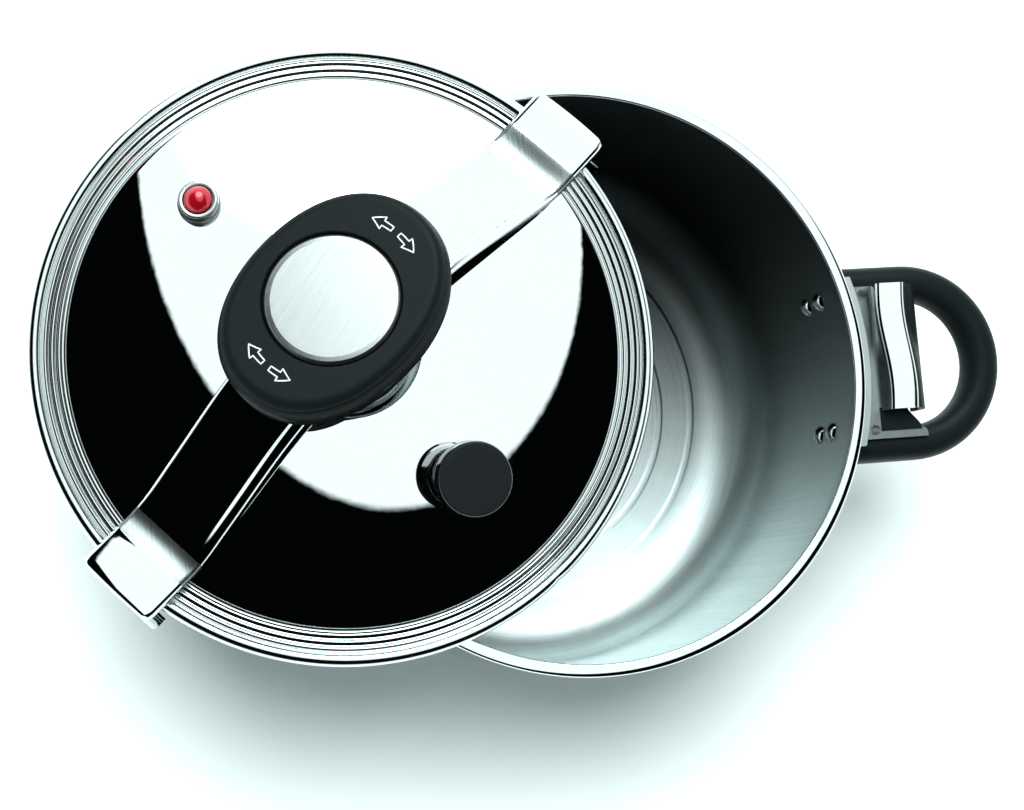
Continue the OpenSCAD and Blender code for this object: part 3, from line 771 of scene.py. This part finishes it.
def handle_grid(pot):
    """A rounded bar carried along a D: out from the wall, round a half circle and back."""
    y0, z0 = pot.handle_bend, pot.rim_z - 23.65
    start = pot.bracket_r + pot.sheet + 0.6
    straight = np.linspace(start, pot.handle_x, 9)[:-1]
    a = np.radians(np.linspace(-90, 90, 41))
    path_x = np.concatenate([straight, pot.handle_x + y0 * np.cos(a), straight[::-1]])
    path_y = np.concatenate([-y0 + 0 * straight, y0 * np.sin(a), y0 + 0 * straight])
    out_x = np.concatenate([0 * straight, np.cos(a), 0 * straight])
    out_y = np.concatenate([-1 + 0 * straight, np.sin(a), 1 + 0 * straight])
    t = np.linspace(0, 2 * math.pi, 40, endpoint=False)
    power = 2 / 2.35
    wide = pot.handle_wide * np.sign(np.cos(t)) * np.abs(np.cos(t)) ** power
    deep = pot.handle_deep * np.sign(np.sin(t)) * np.abs(np.sin(t)) ** power
    x = path_x[:, None] + out_x[:, None] * wide
    y = path_y[:, None] + out_y[:, None] * wide
    hugging = np.sqrt(np.maximum(start ** 2 - y ** 2, 0))
    near = (np.abs(x - start) < 1e-6)
    x = np.where(near, hugging + 0.3, x)
    rings = np.stack([x, y, z0 + deep + 0 * x], -1)
    ends = [rings[k].mean(axis=0) + 0 * rings[k] for k in (0, -1)]
    return np.concatenate([ends[0][None], rings, ends[1][None]])


def build_handles(pot, look):
    """Both D handles."""
    grid = handle_grid(pot)
    for side, turn in (("right", 0), ("left", 180)):
        piece(f"grip_{side}", POT.moved(turn=turn), grid, [look.phenolic], "pot",
              [f"handle_{side}"])


# ---------------------------------------------------------------- lid


def lid_outline(lid):
    """Upper face from the middle over the dome, the grooves and the rolled edge, then back underneath."""
    t = lid.sheet
    sunk_z = lid.panel_z + lid.rise - lid.sunk_deep
    r = np.linspace(lid.sunk_r + 1.5, lid.panel_r - 1.2, 44)
    dome = np.stack([r, dome_height(lid, r)], -1)
    brow_z = float(dome_height(lid, lid.sunk_r))
    well = rounded([(0, sunk_z), (lid.sunk_r - 3, sunk_z, 3), (lid.sunk_r, brow_z, 1.6),
                    tuple(dome[0])], steps=8)
    flat = lid.flat_z + t
    ribs = [[(lid.panel_r + k * 2.5 - 1.15, flat, 0.6), (lid.panel_r + k * 2.5, flat + 0.95, 1.3),
             (lid.panel_r + k * 2.5 + 1.15, flat, 0.6)] for k in (1, 2, 3)]
    roll_r = 2.6
    roll_at = lid.edge_r - roll_r
    meet = 180 - math.degrees(math.asin(t / roll_r))
    step = rounded([tuple(dome[-1]), (lid.panel_r, lid.panel_z, 0.6), (lid.panel_r + 0.5, flat, 0.5)]
                   + sum(ribs, []) + [tuple(arc((roll_at, lid.flat_z), roll_r, meet, 0, 1)[0])], steps=4)
    roll = arc((roll_at, lid.flat_z), roll_r, meet, 0, 18)
    skirt = np.array([[lid.edge_r, -lid.skirt + 0.3], [lid.edge_r - 0.3, -lid.skirt],
                      [lid.edge_r - t, -lid.skirt + 0.1]])
    inner_roll = arc((roll_at, lid.flat_z), roll_r - t, 0, 180, 12)
    upper = np.concatenate([well, dome[1:], step[1:], roll[1:], skirt])
    step_r = lid.panel_r - 0.3
    back = np.concatenate([inner_roll, [[step_r, lid.flat_z], [step_r, lid.panel_z - t]],
                           (dome - [0, t])[::-3], [[lid.sunk_r - 2.2, sunk_z - t], [0, sunk_z - t]]])
    return dense(upper, 6), dense(back, 8)


def build_lid(lid, look):
    """The lid with its rolled edge, dimpled at the two safety windows, and its gasket."""
    upper, back = lid_outline(lid)
    outline = np.concatenate([upper, back])
    pressed = outline[:, 0] > lid.panel_r - 0.2
    grid = lathe(outline, 288)
    place = lid_place(lid)
    bridge_at = 42
    dent_deep, dent_spread = 0.0038, 0.9
    r = np.hypot(grid[..., 0], grid[..., 1])
    angle = np.degrees(np.arctan2(grid[..., 1], grid[..., 0])) + bridge_at
    outer = smoothstep(r, lid.edge_r - 2.4, lid.edge_r - 0.4)
    for window in (129, -51.5):
        away = (angle - window + 180) % 360 - 180
        dent = 1 - dent_deep * np.exp(-(away / dent_spread) ** 2) * outer
        grid[..., 0] *= dent
        grid[..., 1] *= dent
    piece("lid_dome", place, grid, [look.polished, look.edge], "lid", ["lid_shell"],
          zones=pressed.astype(int))
    outer_r = lid.edge_r - lid.sheet - 0.3
    inner_r = outer_r - 10.8
    plug_r = 109.4
    ring = rounded([(outer_r, 0.3, 0.4), (outer_r, lid.flat_z - 0.2, 0.8), (inner_r, lid.flat_z - 0.2, 0.8),
                    (inner_r, 0.3, 0.3), (inner_r + 2, 0.3, 0.3), (inner_r + 2, -3, 0.8),
                    (plug_r, -3, 0.8), (plug_r, 0.3, 0.3)], closed=True)
    piece("gasket_ring", place, lathe(ring, 192), [look.silicone], "lid", ["lid_gasket"],
          rings=True)
    sunk_z = lid.panel_z + lid.rise - lid.sunk_deep
    cup = rounded([(7.4, sunk_z, 0.2), (11, sunk_z, 0.6), (11, sunk_z + 4.2, 0.8), (7.4, sunk_z + 4.2, 0.5)],
                  closed=True)
    piece("cup_ring", place, lathe(cup, 64), [look.turned], "lid", ["thrust_cup"],
          rings=True)


def build_weight(lid, look):
    """The pressure weight: a gloss cap with a satin top, hollow below."""
    place = valve_place(lid, "weight_lift")
    r, h = lid.weight_r, lid.weight_h
    outside = rounded([(0, h - 0.1), (r - 0.4, h - 0.1, 1.1),
                       (r, h - 6.6, 1.2), (r - 1.1, h - 8.2, 1.2), (r - 2.5, 4, 0.7), (r - 4.7, 4, 0.5),
                       (r - 4.7, h - 2.2, 0.6), (0, h - 2.2)], steps=7)
    outside = dense(outside, 3)
    satin = (outside[:, 0] < r - 0.9) & (outside[:, 1] > h - 1)
    piece("weight_cap", place, lathe(outside, 96), [look.gloss, look.satin_black], "weight",
          ["weight_cover"], zones=satin.astype(int))


def build_indicator(lid, look):
    """The pressure indicator: a stepped chrome collar round a red domed pin."""
    place = valve_place(lid, "indicator_rise")
    r = lid.pin_r
    collar = rounded([(3.3, -5), (r - 0.3, -5, 0.3), (r - 0.3, 0.1), (r + 2.7, 0.1, 0.3), (r + 2.7, 1.2, 0.5),
                      (r + 2.2, 2.2, 0.5), (r + 2.1, 5.4, 1.7), (r + 0.3, 5.2, 0.3), (r + 0.3, 3, 0.2),
                      (3.3, 3, 0.1)], closed=True)
    piece("indicator_collar", place, lathe(dense(collar, 2), 72), [look.disc], "lid",
          ["indicator_housing"], rings=True)
    tall, head, seat = 3.4, r - 0.05, 5.4
    cap = (head ** 2 + tall ** 2) / (2 * tall)
    spread = math.degrees(math.asin(head / cap))
    dome = arc((0, seat + tall - cap), cap, 90, 90 - spread, 12)
    pin = np.concatenate([dome, rounded([(head, seat), (r, seat - 0.4, 0.3), (r, 3.3, 0.3), (3, 3.3, 0.2),
                                         (3, -9.2, 0.4), (0, -9.2)])])
    piece("indicator_button", place, lathe(pin, 72), [look.red], "indicator", ["indicator_pin"])


# ---------------------------------------------------------------- bridge


def bridge_height(bridge, x):
    """The bridge's upper face: level middle, cosine slope, a shallow valley and then the pad."""
    slope_end = bridge.half - bridge.pad
    t = np.clip((x - bridge.middle) / (slope_end - bridge.middle), 0, 1)
    arm = bridge.pad_top + (bridge.top - bridge.pad_top) * (0.5 + 0.5 * np.cos(math.pi * t))
    valley = smoothstep(x, slope_end - 26, slope_end - 8) * (1 - smoothstep(x, slope_end - 7, slope_end + 2))
    lean = math.tan(math.radians(4)) * np.maximum(x - slope_end - 2, 0)
    return arm - 1.4 * valley + lean


def bridge_path(bridge):
    """One half of the outer line from the middle to the toe: the points and the way each faces."""
    slope_end = bridge.half - bridge.pad
    x = np.concatenate([np.linspace(0, bridge.middle, 9)[:-1],
                        np.linspace(bridge.middle, slope_end - 1, 60),
                        np.linspace(slope_end - 0.6, slope_end + 2, 9),
                        np.linspace(slope_end + 3, bridge.half - 4, 8)])
    top = np.stack([x, bridge_height(bridge, x)], -1)
    toe_tip = 116.6
    hook = rounded([tuple(top[-1]), (bridge.half, bridge.pad_top + 1.2, 3.95),
                    (bridge.half, -bridge.toe_z, 3.2), (toe_tip, -bridge.toe_z)], steps=8)
    line = np.concatenate([top, dense(hook, 3)[1:]])
    along = np.gradient(line, axis=0)
    along /= np.linalg.norm(along, axis=1, keepdims=True)
    face = np.stack([-along[:, 1], along[:, 0]], -1)
    return line, face


def bridge_section(half, drop, bend, count=40):
    """Half of a section across the bridge, as the way out from the middle and the drop below the top."""
    flat = np.linspace(0, half - bend, count)
    a = np.radians(np.linspace(90, 0, 9))[1:]
    turn_y, turn_h = half - bend + bend * np.cos(a), -bend + bend * np.sin(a)
    side = np.linspace(0, 1, 5)[1:]
    rows = len(drop)
    y = np.concatenate([flat, turn_y, half + 0 * side])[None] + np.zeros((rows, 1))
    depth = np.maximum(drop, bend + 0.05)[:, None]
    h = np.concatenate([np.tile(np.r_[0 * flat, turn_h], (rows, 1)), -bend - side * (depth - bend)], axis=1)
    return y, h


def bridge_faces(bridge):
    """Upper and lower face of one half of the bridge, as grids of points."""
    line, face = bridge_path(bridge)
    x = line[:, 0]
    half = bridge.width / 2
    slope_end = bridge.half - bridge.pad
    on_hook = smoothstep(bridge.pad_top - line[:, 1], 2, 8) * (x > slope_end)
    share = np.clip((line[:, 1] - bridge.pad_top) / (bridge.top - bridge.pad_top), 0, 1)
    thick = bridge.sheet - 0.8 * smoothstep(-line[:, 1], 2, 5.5)
    lip = 0.9 * smoothstep(slope_end - x, 6, 36)
    y, h = bridge_section(half, thick + 5 * share, 2.0)
    panel = smoothstep(np.abs(y), half - 4.6, half - 3.0)
    panel = panel * smoothstep(x, bridge.middle - 4, bridge.middle + 10)[:, None]
    raised = lip[:, None] * panel
    crown = -0.5 * (y / half) ** 2 * (smoothstep(x, slope_end - 8, slope_end + 4) * (1 - on_hook))[:, None]
    top_h = h + raised + crown
    y_in, h_in = bridge_section(half - bridge.sheet, thick * 0 + 1e-3, 0.6)
    deep = (5 * share)[:, None]
    below = -thick[:, None] - deep * smoothstep(y_in, half - bridge.sheet - 0.8, half - bridge.sheet)
    low_h = below + 0 * h_in

    turn = np.maximum.accumulate(np.clip((x - (bridge.half - 4.5)) / 4.5, 0, 1))
    narrow = 1 - (2.4 / half) * (1 - np.sqrt(1 - turn ** 2))[:, None]

    def sheet_points(out, height):
        out = out * narrow
        px = x[:, None] + face[:, :1] * height
        pz = line[:, 1:] + face[:, 1:] * height
        return np.stack([px, out, pz], -1)

    return sheet_points(y, top_h), sheet_points(y_in, low_h)


def whole_bridge(bridge):
    """All four quarters of the bridge joined into one closed sheet."""
    upper, lower = bridge_faces(bridge)

    def both_widths(grid):
        other = grid[:, :0:-1] * [1, -1, 1]
        return np.concatenate([other, grid], axis=1)

    def both_ends(grid):
        other = (grid * [-1, 1, 1])[:0:-1]
        return np.concatenate([other, grid], axis=0)

    return slab(both_ends(both_widths(upper)), both_ends(both_widths(lower)))


def build_bridge(lid, bridge, look):
    """The pressed bridge with its hooks, and the nut under its middle; the crease before each pad is painted
    shade in darker steel.
    """
    place = rolled_place(lid).moved(z=-bridge.slack)
    grid = whole_bridge(bridge)
    middle = np.abs(grid[:, grid.shape[1] // 4, 0])
    slope_end = bridge.half - bridge.pad
    # the crease before each pad takes the darker sheet: painted shade in the crease
    crease = (middle > slope_end - 8) & (middle < slope_end + 0.8)
    piece("bridge_bar", place, grid, [look.polished, look.dark], "bridge", ["bridge"],
          zones=crease.astype(int))
    under = bridge.top - bridge.sheet - 0.05
    bore = bridge.spindle_r + 0.1
    nut = rounded([(bore, under - 8), (11, under - 8, 0.8), (12.5, under - 6.5, 0.8), (12.5, under, 0.5),
                   (8, under, 0.1), (8, bridge.top, 0.3), (bore, bridge.top, 0.2)], closed=True)
    piece("bridge_boss", place, lathe(nut, 72), [look.turned], "bridge", ["bridge_nut"],
          rings=True)


def thread_grid(bridge, low, high, pitch=3.0, deep=0.9):
    """A threaded bar: the radius rises and falls once for each pitch, shifted round by the angle."""
    around = 48
    z = np.linspace(low, high, int((high - low) / pitch * 12))[:, None]
    angle = np.linspace(0, 2 * math.pi, around, endpoint=False)
    phase = (z / pitch - angle / (2 * math.pi)) % 1
    crest = np.clip(np.abs(phase - 0.5) * 4 - 0.5, 0, 1)
    fade = smoothstep(z, low, low + pitch / 2) * (1 - smoothstep(z, high - pitch / 2, high))
    r = bridge.spindle_r - deep * (1 - crest * fade)
    body = np.stack([r * np.cos(angle), r * np.sin(angle), z + 0 * angle], -1)
    ends = [body[k] * [0, 0, 1] for k in (0, -1)]
    return np.concatenate([ends[0][None], body, ends[1][None]])


def build_screw_gear(lid, bridge, look):
    """The threaded spindle, its smooth neck, and the swivel cap and foot below it."""
    place = rolled_place(lid)
    neck = rounded([(0, 23.6), (5, 23.6, 0.5), (5, 31, 0.2), (0, 31)])
    piece("spindle_screw", place, [thread_grid(bridge, 30.3, 61)], [look.turned], "knob",
          ["spindle"])
    piece("spindle_neck", place, lathe(neck, 48), [look.turned], "knob")
    cap = rounded([(6.2, 19.2, 0.3), (9.5, 19.2, 0.8), (9.5, 30, 1.2), (5.1, 30, 0.3), (5.1, 21.9, 0.2)],
                  closed=True)
    piece("swivel_collar", place, lathe(cap, 64), [look.turned], "seat", ["swivel_cap"],
          rings=True)
    ball_z = lid.ball_z
    dome = arc((0, ball_z), 7, 62, -18, 16)
    hollow = [[2.8, ball_z - 2.3], [2.8, ball_z + 1.2], [1.6, ball_z + 2.5], [0, ball_z + 2.8]]
    foot = np.concatenate([[[0, ball_z + 6.2]], dome, hollow])
    piece("swivel_base", lid_place(lid), lathe(foot, 64), [look.turned], "foot",
          ["swivel_foot"])


# ---------------------------------------------------------------- knob


KNOB_AROUND = 160


def knob_ring(bridge, inset, power=2.15):
    """The knob's rounded oval, drawn in by inset: a superellipse, as points round the axis."""
    t = np.linspace(0, 2 * math.pi, KNOB_AROUND, endpoint=False)
    a, b = bridge.knob_long / 2 - inset[:, None], bridge.knob_short / 2 - inset[:, None]
    x = a * np.sign(np.cos(t)) * np.abs(np.cos(t)) ** (2 / power)
    y = b * np.sign(np.sin(t)) * np.abs(np.sin(t)) ** (2 / power)
    return np.stack([x, y], -1)


def knob_circle(radius):
    """Circles of the given radii, with the same points round the axis as the oval has."""
    t = np.linspace(0, 2 * math.pi, KNOB_AROUND, endpoint=False)
    return radius[:, None, None] * np.stack([np.cos(t), np.sin(t)], -1)


def knob_grid(bridge):
    """Underside, rounded flank and crowned top between oval and circle, then down into the disc's seat."""
    low, high = bridge.knob_z, bridge.knob_z + bridge.knob_h
    seat = high - 3.5
    groove = bridge.disc_r + 0.9
    flank = rounded([(4.2, low), (0.2, low + 5, 7), (0, low + 10, 8), (1.3, high - 3.2, 6), (6.2, high, 0)],
                    steps=7)
    flank = np.concatenate([arc((4.2, low + 4), 4, -90, -160, 6), flank[2:-1],
                            arc((5.2, high - 3.8), 3.8, 165, 90, 8)])
    side_z = np.tile(flank[:, None, 1:], (1, KNOB_AROUND, 1))
    side = np.concatenate([knob_ring(bridge, flank[:, 0]), side_z], axis=-1)
    share = np.linspace(0, 1, 16)[1:, None, None]
    oval = knob_ring(bridge, flank[-1:, 0])
    circle = knob_circle(np.array([groove]))
    level = np.zeros((1, KNOB_AROUND, 1))
    top = np.concatenate([oval * (1 - share) + circle * share, high + 0 * share + level], axis=-1)
    recess = rounded([(groove, high), (groove - 0.35, high - 0.7, 0.3), (bridge.disc_r + 0.1, seat, 0.1),
                      (0, seat)])
    inner_z = np.tile(recess[:, None, 1:], (1, KNOB_AROUND, 1))
    inner = np.concatenate([knob_circle(recess[:, 0]), inner_z], axis=-1)
    base = np.linspace(0, 1, 6)[:, None, None]
    under_oval = side[:1, :, :2]
    under = np.concatenate([under_oval * base, low + 0 * base + level], axis=-1)
    return np.concatenate([under, side, top, inner])


def arrow_ribbon(radius, start, sense, level):
    """The outline of one arrow bent round the knob, as a thin raised band of rectangular section.

    The arrow is drawn along an arc: s is the way along it and q the way outwards.
    """
    shape = np.array([(0.4, -0.9), (4.4, -1.0), (4.4, -2.5), (8.8, 0.0), (4.4, 2.5), (4.4, 1.0), (0.4, 0.9)])
    closed = dense(np.concatenate([shape, shape[:1]]), 0.6)[:-1]
    before, after = np.roll(closed, 1, axis=0), np.roll(closed, -1, axis=0)
    along = after - before
    along /= np.linalg.norm(along, axis=1, keepdims=True)
    aside = np.stack([-along[:, 1], along[:, 0]], -1)
    width, proud = 0.24, 0.08
    ring = []
    for reach, height in ((-width, 0.0), (-width, proud), (width, proud), (width, 0.0)):
        p = closed + aside * reach
        angle = np.radians(start) + sense * p[:, 0] / radius
        r = radius + p[:, 1]
        ring.append(np.stack([r * np.cos(angle), r * np.sin(angle), level + height + 0 * r], -1))
    return np.stack(ring, axis=1)


def build_knob(lid, bridge, look):
    """The oval grip, its polished disc and the printed arrows that show which way it turns."""
    place = rolled_place(lid)
    high = bridge.knob_z + bridge.knob_h
    piece("knob_body", place, knob_grid(bridge), [look.phenolic], "knob", ["knob_grip"])
    r = bridge.disc_r - 0.05
    disc = rounded([(0, high + 0.2), (r - 2.6, high + 0.12, 0.4), (r - 1.0, high - 0.1, 0.6),
                    (r, high - 1.0, 0.5), (r, high - 3.4, 0.2), (0, high - 3.4)], steps=6)
    piece("knob_plate", place, lathe(dense(disc, 3), 120), [look.disc], "knob",
          ["knob_disc"])
    print_r = 32.4
    arrows = [arrow_ribbon(print_r, side + sense * 2.2, sense, high - 0.02)
              for side in (0, 180) for sense in (1, -1)]
    piece("knob_arrows", place, arrows, [look.mark], "knob", rings=True)


# ---------------------------------------------------------------- stage


def ellipse_light(x, y, z):
    """A broad oval panel overhead, as the ellipse its edge makes on a level ceiling."""
    up = z.math("MAXIMUM", 0.02)
    across, along = (x / up - 0.10) / 0.62, (y / up - 0.90) / 1.12
    return (across * across + along * along).between(1.02, 0.98)


def horizon_light(x, y, z):
    """White studio walls all round, taller on the side of the bridge's far arm."""
    level = (1 - z * z).math("MAXIMUM", 1e-4).math("SQRT")
    towards = ((x * 0.74 + y * 0.67) / level).between(-0.35, 0.9)
    edge = 0.10 + 0.46 * towards
    return (z - edge).between(0.20, -0.12)


def build_world():
    """Soft even light for matt surfaces, and a studio of white panels on black for bright ones."""
    world = bpy.data.worlds.new("studio")
    world.use_nodes = True
    bpy.context.scene.world = world
    nodes = Nodes(world.node_tree)
    way = nodes.add("ShaderNodeTexCoord", output="Generated")
    split = nodes.add("ShaderNodeSeparateXYZ", None, [way]).output.node
    x, y, z = (Socket(nodes, split.outputs[k]) for k in range(3))
    white = ellipse_light(x, y, z).math("MAXIMUM", horizon_light(x, y, z))
    panels = nodes.tinted(white, (0.0008, 0.0013, 0.0013), (1.12, 1.24, 1.24))
    path = nodes.add("ShaderNodeLightPath").output.node
    shiny = Socket(nodes, path.outputs["Is Glossy Ray"])
    seen = Socket(nodes, path.outputs["Is Camera Ray"])
    soft = nodes.tinted(z.between(-0.2, 0.9), (0.22, 0.29, 0.29), (0.29, 0.36, 0.36))
    light = nodes.tinted(seen, nodes.tinted(shiny, soft, panels), (1.0, 1.0, 1.0))
    shader = nodes.add("ShaderNodeBackground", None, {"Color": light, "Strength": 1.0})
    nodes.add("ShaderNodeOutputWorld", None, {"Surface": shader})


def build_lamp(name, energy, towards, degrees, tint):
    """One soft distant lamp that shines along a direction."""
    lamp = bpy.data.lights.new(name, "SUN")
    lamp.angle = math.radians(degrees)
    lamp.energy = energy
    lamp.color = tint
    made = bpy.data.objects.new(name, lamp)
    made.rotation_euler = Vector(towards).to_track_quat("-Z", "Y").to_euler()
    bpy.context.scene.collection.objects.link(made)
    return made


def build_lamps():
    """A soft lamp that throws the shadow forward, and the core of the overhead panel for satin steel."""
    cool = (0.90, 1.0, 1.0)
    key = build_lamp("key", 4.9, (0.15, -0.41, -0.90), 40, cool)
    key.visible_glossy = False
    core = build_lamp("panel_core", 2.0, (-0.05, -0.67, -0.74), 42, cool)
    core.visible_diffuse = False


def build_floor():
    """A pale floor that the pot stands on."""
    mesh = bpy.data.meshes.new("studio_floor")
    half, z = 30.0, -0.0002
    mesh.from_pydata([(-half, -half, z), (half, -half, z), (half, half, z), (-half, half, z)],
                     [], [(0, 1, 2, 3)])
    mesh.materials.append(finish("pale_floor", studio_floor, tuple(bpy.context.scene.cooker_colours.floor)))
    floor = bpy.data.objects.new("studio_floor", mesh)
    bpy.context.scene.collection.objects.link(floor)


def build_camera():
    """A long lens high above the pot, a little to its left; the shift centres the picture."""
    place = (-0.2328, -0.0873, 0.9354)
    data = bpy.data.cameras.new("camera")
    data.sensor_width = 36.0
    data.lens = 77.34
    data.shift_x, data.shift_y = 0.0045, -0.0035
    camera = bpy.data.objects.new("camera", data)
    right = Vector((0.969, -0.086, 0.232)).normalized()
    back = Vector((-0.240, -0.095, 0.966))
    back = (back - right * back.dot(right)).normalized()
    up = back.cross(right)
    turn = Matrix((right, up, back)).transposed()
    camera.matrix_world = Matrix.Translation(place) @ turn.to_4x4()
    bpy.context.scene.collection.objects.link(camera)
    bpy.context.scene.camera = camera


# ---------------------------------------------------------------- add-on


def sizes():
    """The three groups of lengths, in millimetres."""
    scene = bpy.context.scene
    return in_mm(scene.cooker_pot), in_mm(scene.cooker_lid), in_mm(scene.cooker_bridge)


class COOKER_OT_pot(Operator):
    """Build the pot's shell, its base and its rivets"""

    bl_idname = "cooker.pot"
    bl_label = "Pot"

    def execute(self, context):
        pot, _, _ = sizes()
        build_pot(pot, finishes())
        build_rivets(pot, finishes())
        return {"FINISHED"}


class COOKER_OT_brackets(Operator):
    """Build the two brackets that guard the hooks"""

    bl_idname = "cooker.brackets"
    bl_label = "Brackets"

    def execute(self, context):
        build_brackets(sizes()[0], finishes())
        return {"FINISHED"}


class COOKER_OT_handles(Operator):
    """Build the two D handles"""

    bl_idname = "cooker.handles"
    bl_label = "Handles"

    def execute(self, context):
        build_handles(sizes()[0], finishes())
        return {"FINISHED"}


class COOKER_OT_lid(Operator):
    """Build the lid, its gasket and the cup in its middle"""

    bl_idname = "cooker.lid"
    bl_label = "Lid"

    def execute(self, context):
        build_lid(sizes()[1], finishes())
        return {"FINISHED"}


class COOKER_OT_weight(Operator):
    """Build the pressure weight"""

    bl_idname = "cooker.weight"
    bl_label = "Weight"

    def execute(self, context):
        build_weight(sizes()[1], finishes())
        return {"FINISHED"}


class COOKER_OT_indicator(Operator):
    """Build the pressure indicator"""

    bl_idname = "cooker.indicator"
    bl_label = "Indicator"

    def execute(self, context):
        build_indicator(sizes()[1], finishes())
        return {"FINISHED"}


class COOKER_OT_bridge(Operator):
    """Build the bridge and its nut"""

    bl_idname = "cooker.bridge"
    bl_label = "Bridge"

    def execute(self, context):
        _, lid, bridge = sizes()
        build_bridge(lid, bridge, finishes())
        return {"FINISHED"}


class COOKER_OT_screw_gear(Operator):
    """Build the spindle and the swivel below it"""

    bl_idname = "cooker.screw_gear"
    bl_label = "Screw gear"

    def execute(self, context):
        _, lid, bridge = sizes()
        build_screw_gear(lid, bridge, finishes())
        return {"FINISHED"}


class COOKER_OT_knob(Operator):
    """Build the knob, its disc and its arrows"""

    bl_idname = "cooker.knob"
    bl_label = "Knob"

    def execute(self, context):
        _, lid, bridge = sizes()
        build_knob(lid, bridge, finishes())
        return {"FINISHED"}


class COOKER_OT_hardware(Operator):
    """Give the small CAD pieces that stay their own finishes"""

    bl_idname = "cooker.hardware"
    bl_label = "Small pieces"

    def execute(self, context):
        look = finishes()
        kept = {
            look.sheet: ("catch_right", "catch_left"),
            look.aluminium: ("base_disc",),
            look.turned: ("handle_screws", "steam_pipe", "steam_pipe_nut", "indicator_nut", "knob_screw",
                          "weight_core", "indicator_clip"),
            look.polished: ("thrust_ball",),
            look.brass: ("knob_insert",),
            look.silicone: ("steam_pipe_seal", "indicator_seal"),
        }
        for material, names in kept.items():
            for name in names:
                for slot in frame["nodes"][name].material_slots:
                    slot.material = material
        return {"FINISHED"}


class COOKER_OT_stage(Operator):
    """Set the floor, the lights and the camera"""

    bl_idname = "cooker.stage"
    bl_label = "Stage"

    def execute(self, context):
        build_world()
        build_lamps()
        build_floor()
        build_camera()
        context.scene.view_settings.view_transform = "Standard"
        return {"FINISHED"}


STEPS = (COOKER_OT_stage, COOKER_OT_pot, COOKER_OT_brackets, COOKER_OT_handles, COOKER_OT_lid,
         COOKER_OT_weight, COOKER_OT_indicator, COOKER_OT_bridge, COOKER_OT_screw_gear, COOKER_OT_knob,
         COOKER_OT_hardware)
GROUPS = {"cooker_pot": CookerPot, "cooker_lid": CookerLid, "cooker_bridge": CookerBridge,
          "cooker_colours": CookerColours}


class COOKER_PT_panel(Panel):
    """The steps and the sizes of the cooker"""

    bl_idname = "COOKER_PT_panel"
    bl_label = "Pressure cooker"
    bl_space_type = "VIEW_3D"
    bl_region_type = "UI"
    bl_category = "Cooker"

    def draw(self, context):
        for step in STEPS:
            self.layout.operator(step.bl_idname)
        for name in GROUPS:
            box = self.layout.box()
            group = getattr(context.scene, name)
            for key in type(group).__annotations__:
                box.prop(group, key)


def register():
    """Registers the property groups, the operators and the panel."""
    for group in GROUPS.values():
        bpy.utils.register_class(group)
    for name, group in GROUPS.items():
        setattr(bpy.types.Scene, name, PointerProperty(type=group))
    for step in STEPS:
        bpy.utils.register_class(step)
    bpy.utils.register_class(COOKER_PT_panel)


def unregister():
    """Takes back what register does, in the opposite order."""
    bpy.utils.unregister_class(COOKER_PT_panel)
    for step in reversed(STEPS):
        bpy.utils.unregister_class(step)
    for name, group in GROUPS.items():
        delattr(bpy.types.Scene, name)
        bpy.utils.unregister_class(group)


def main():
    """Runs every step in order."""
    register()
    for step in STEPS:
        area, name = step.bl_idname.split(".")
        getattr(getattr(bpy.ops, area), name)()
    bpy.context.view_layer.update()


if __name__ == "__main__":
    main()
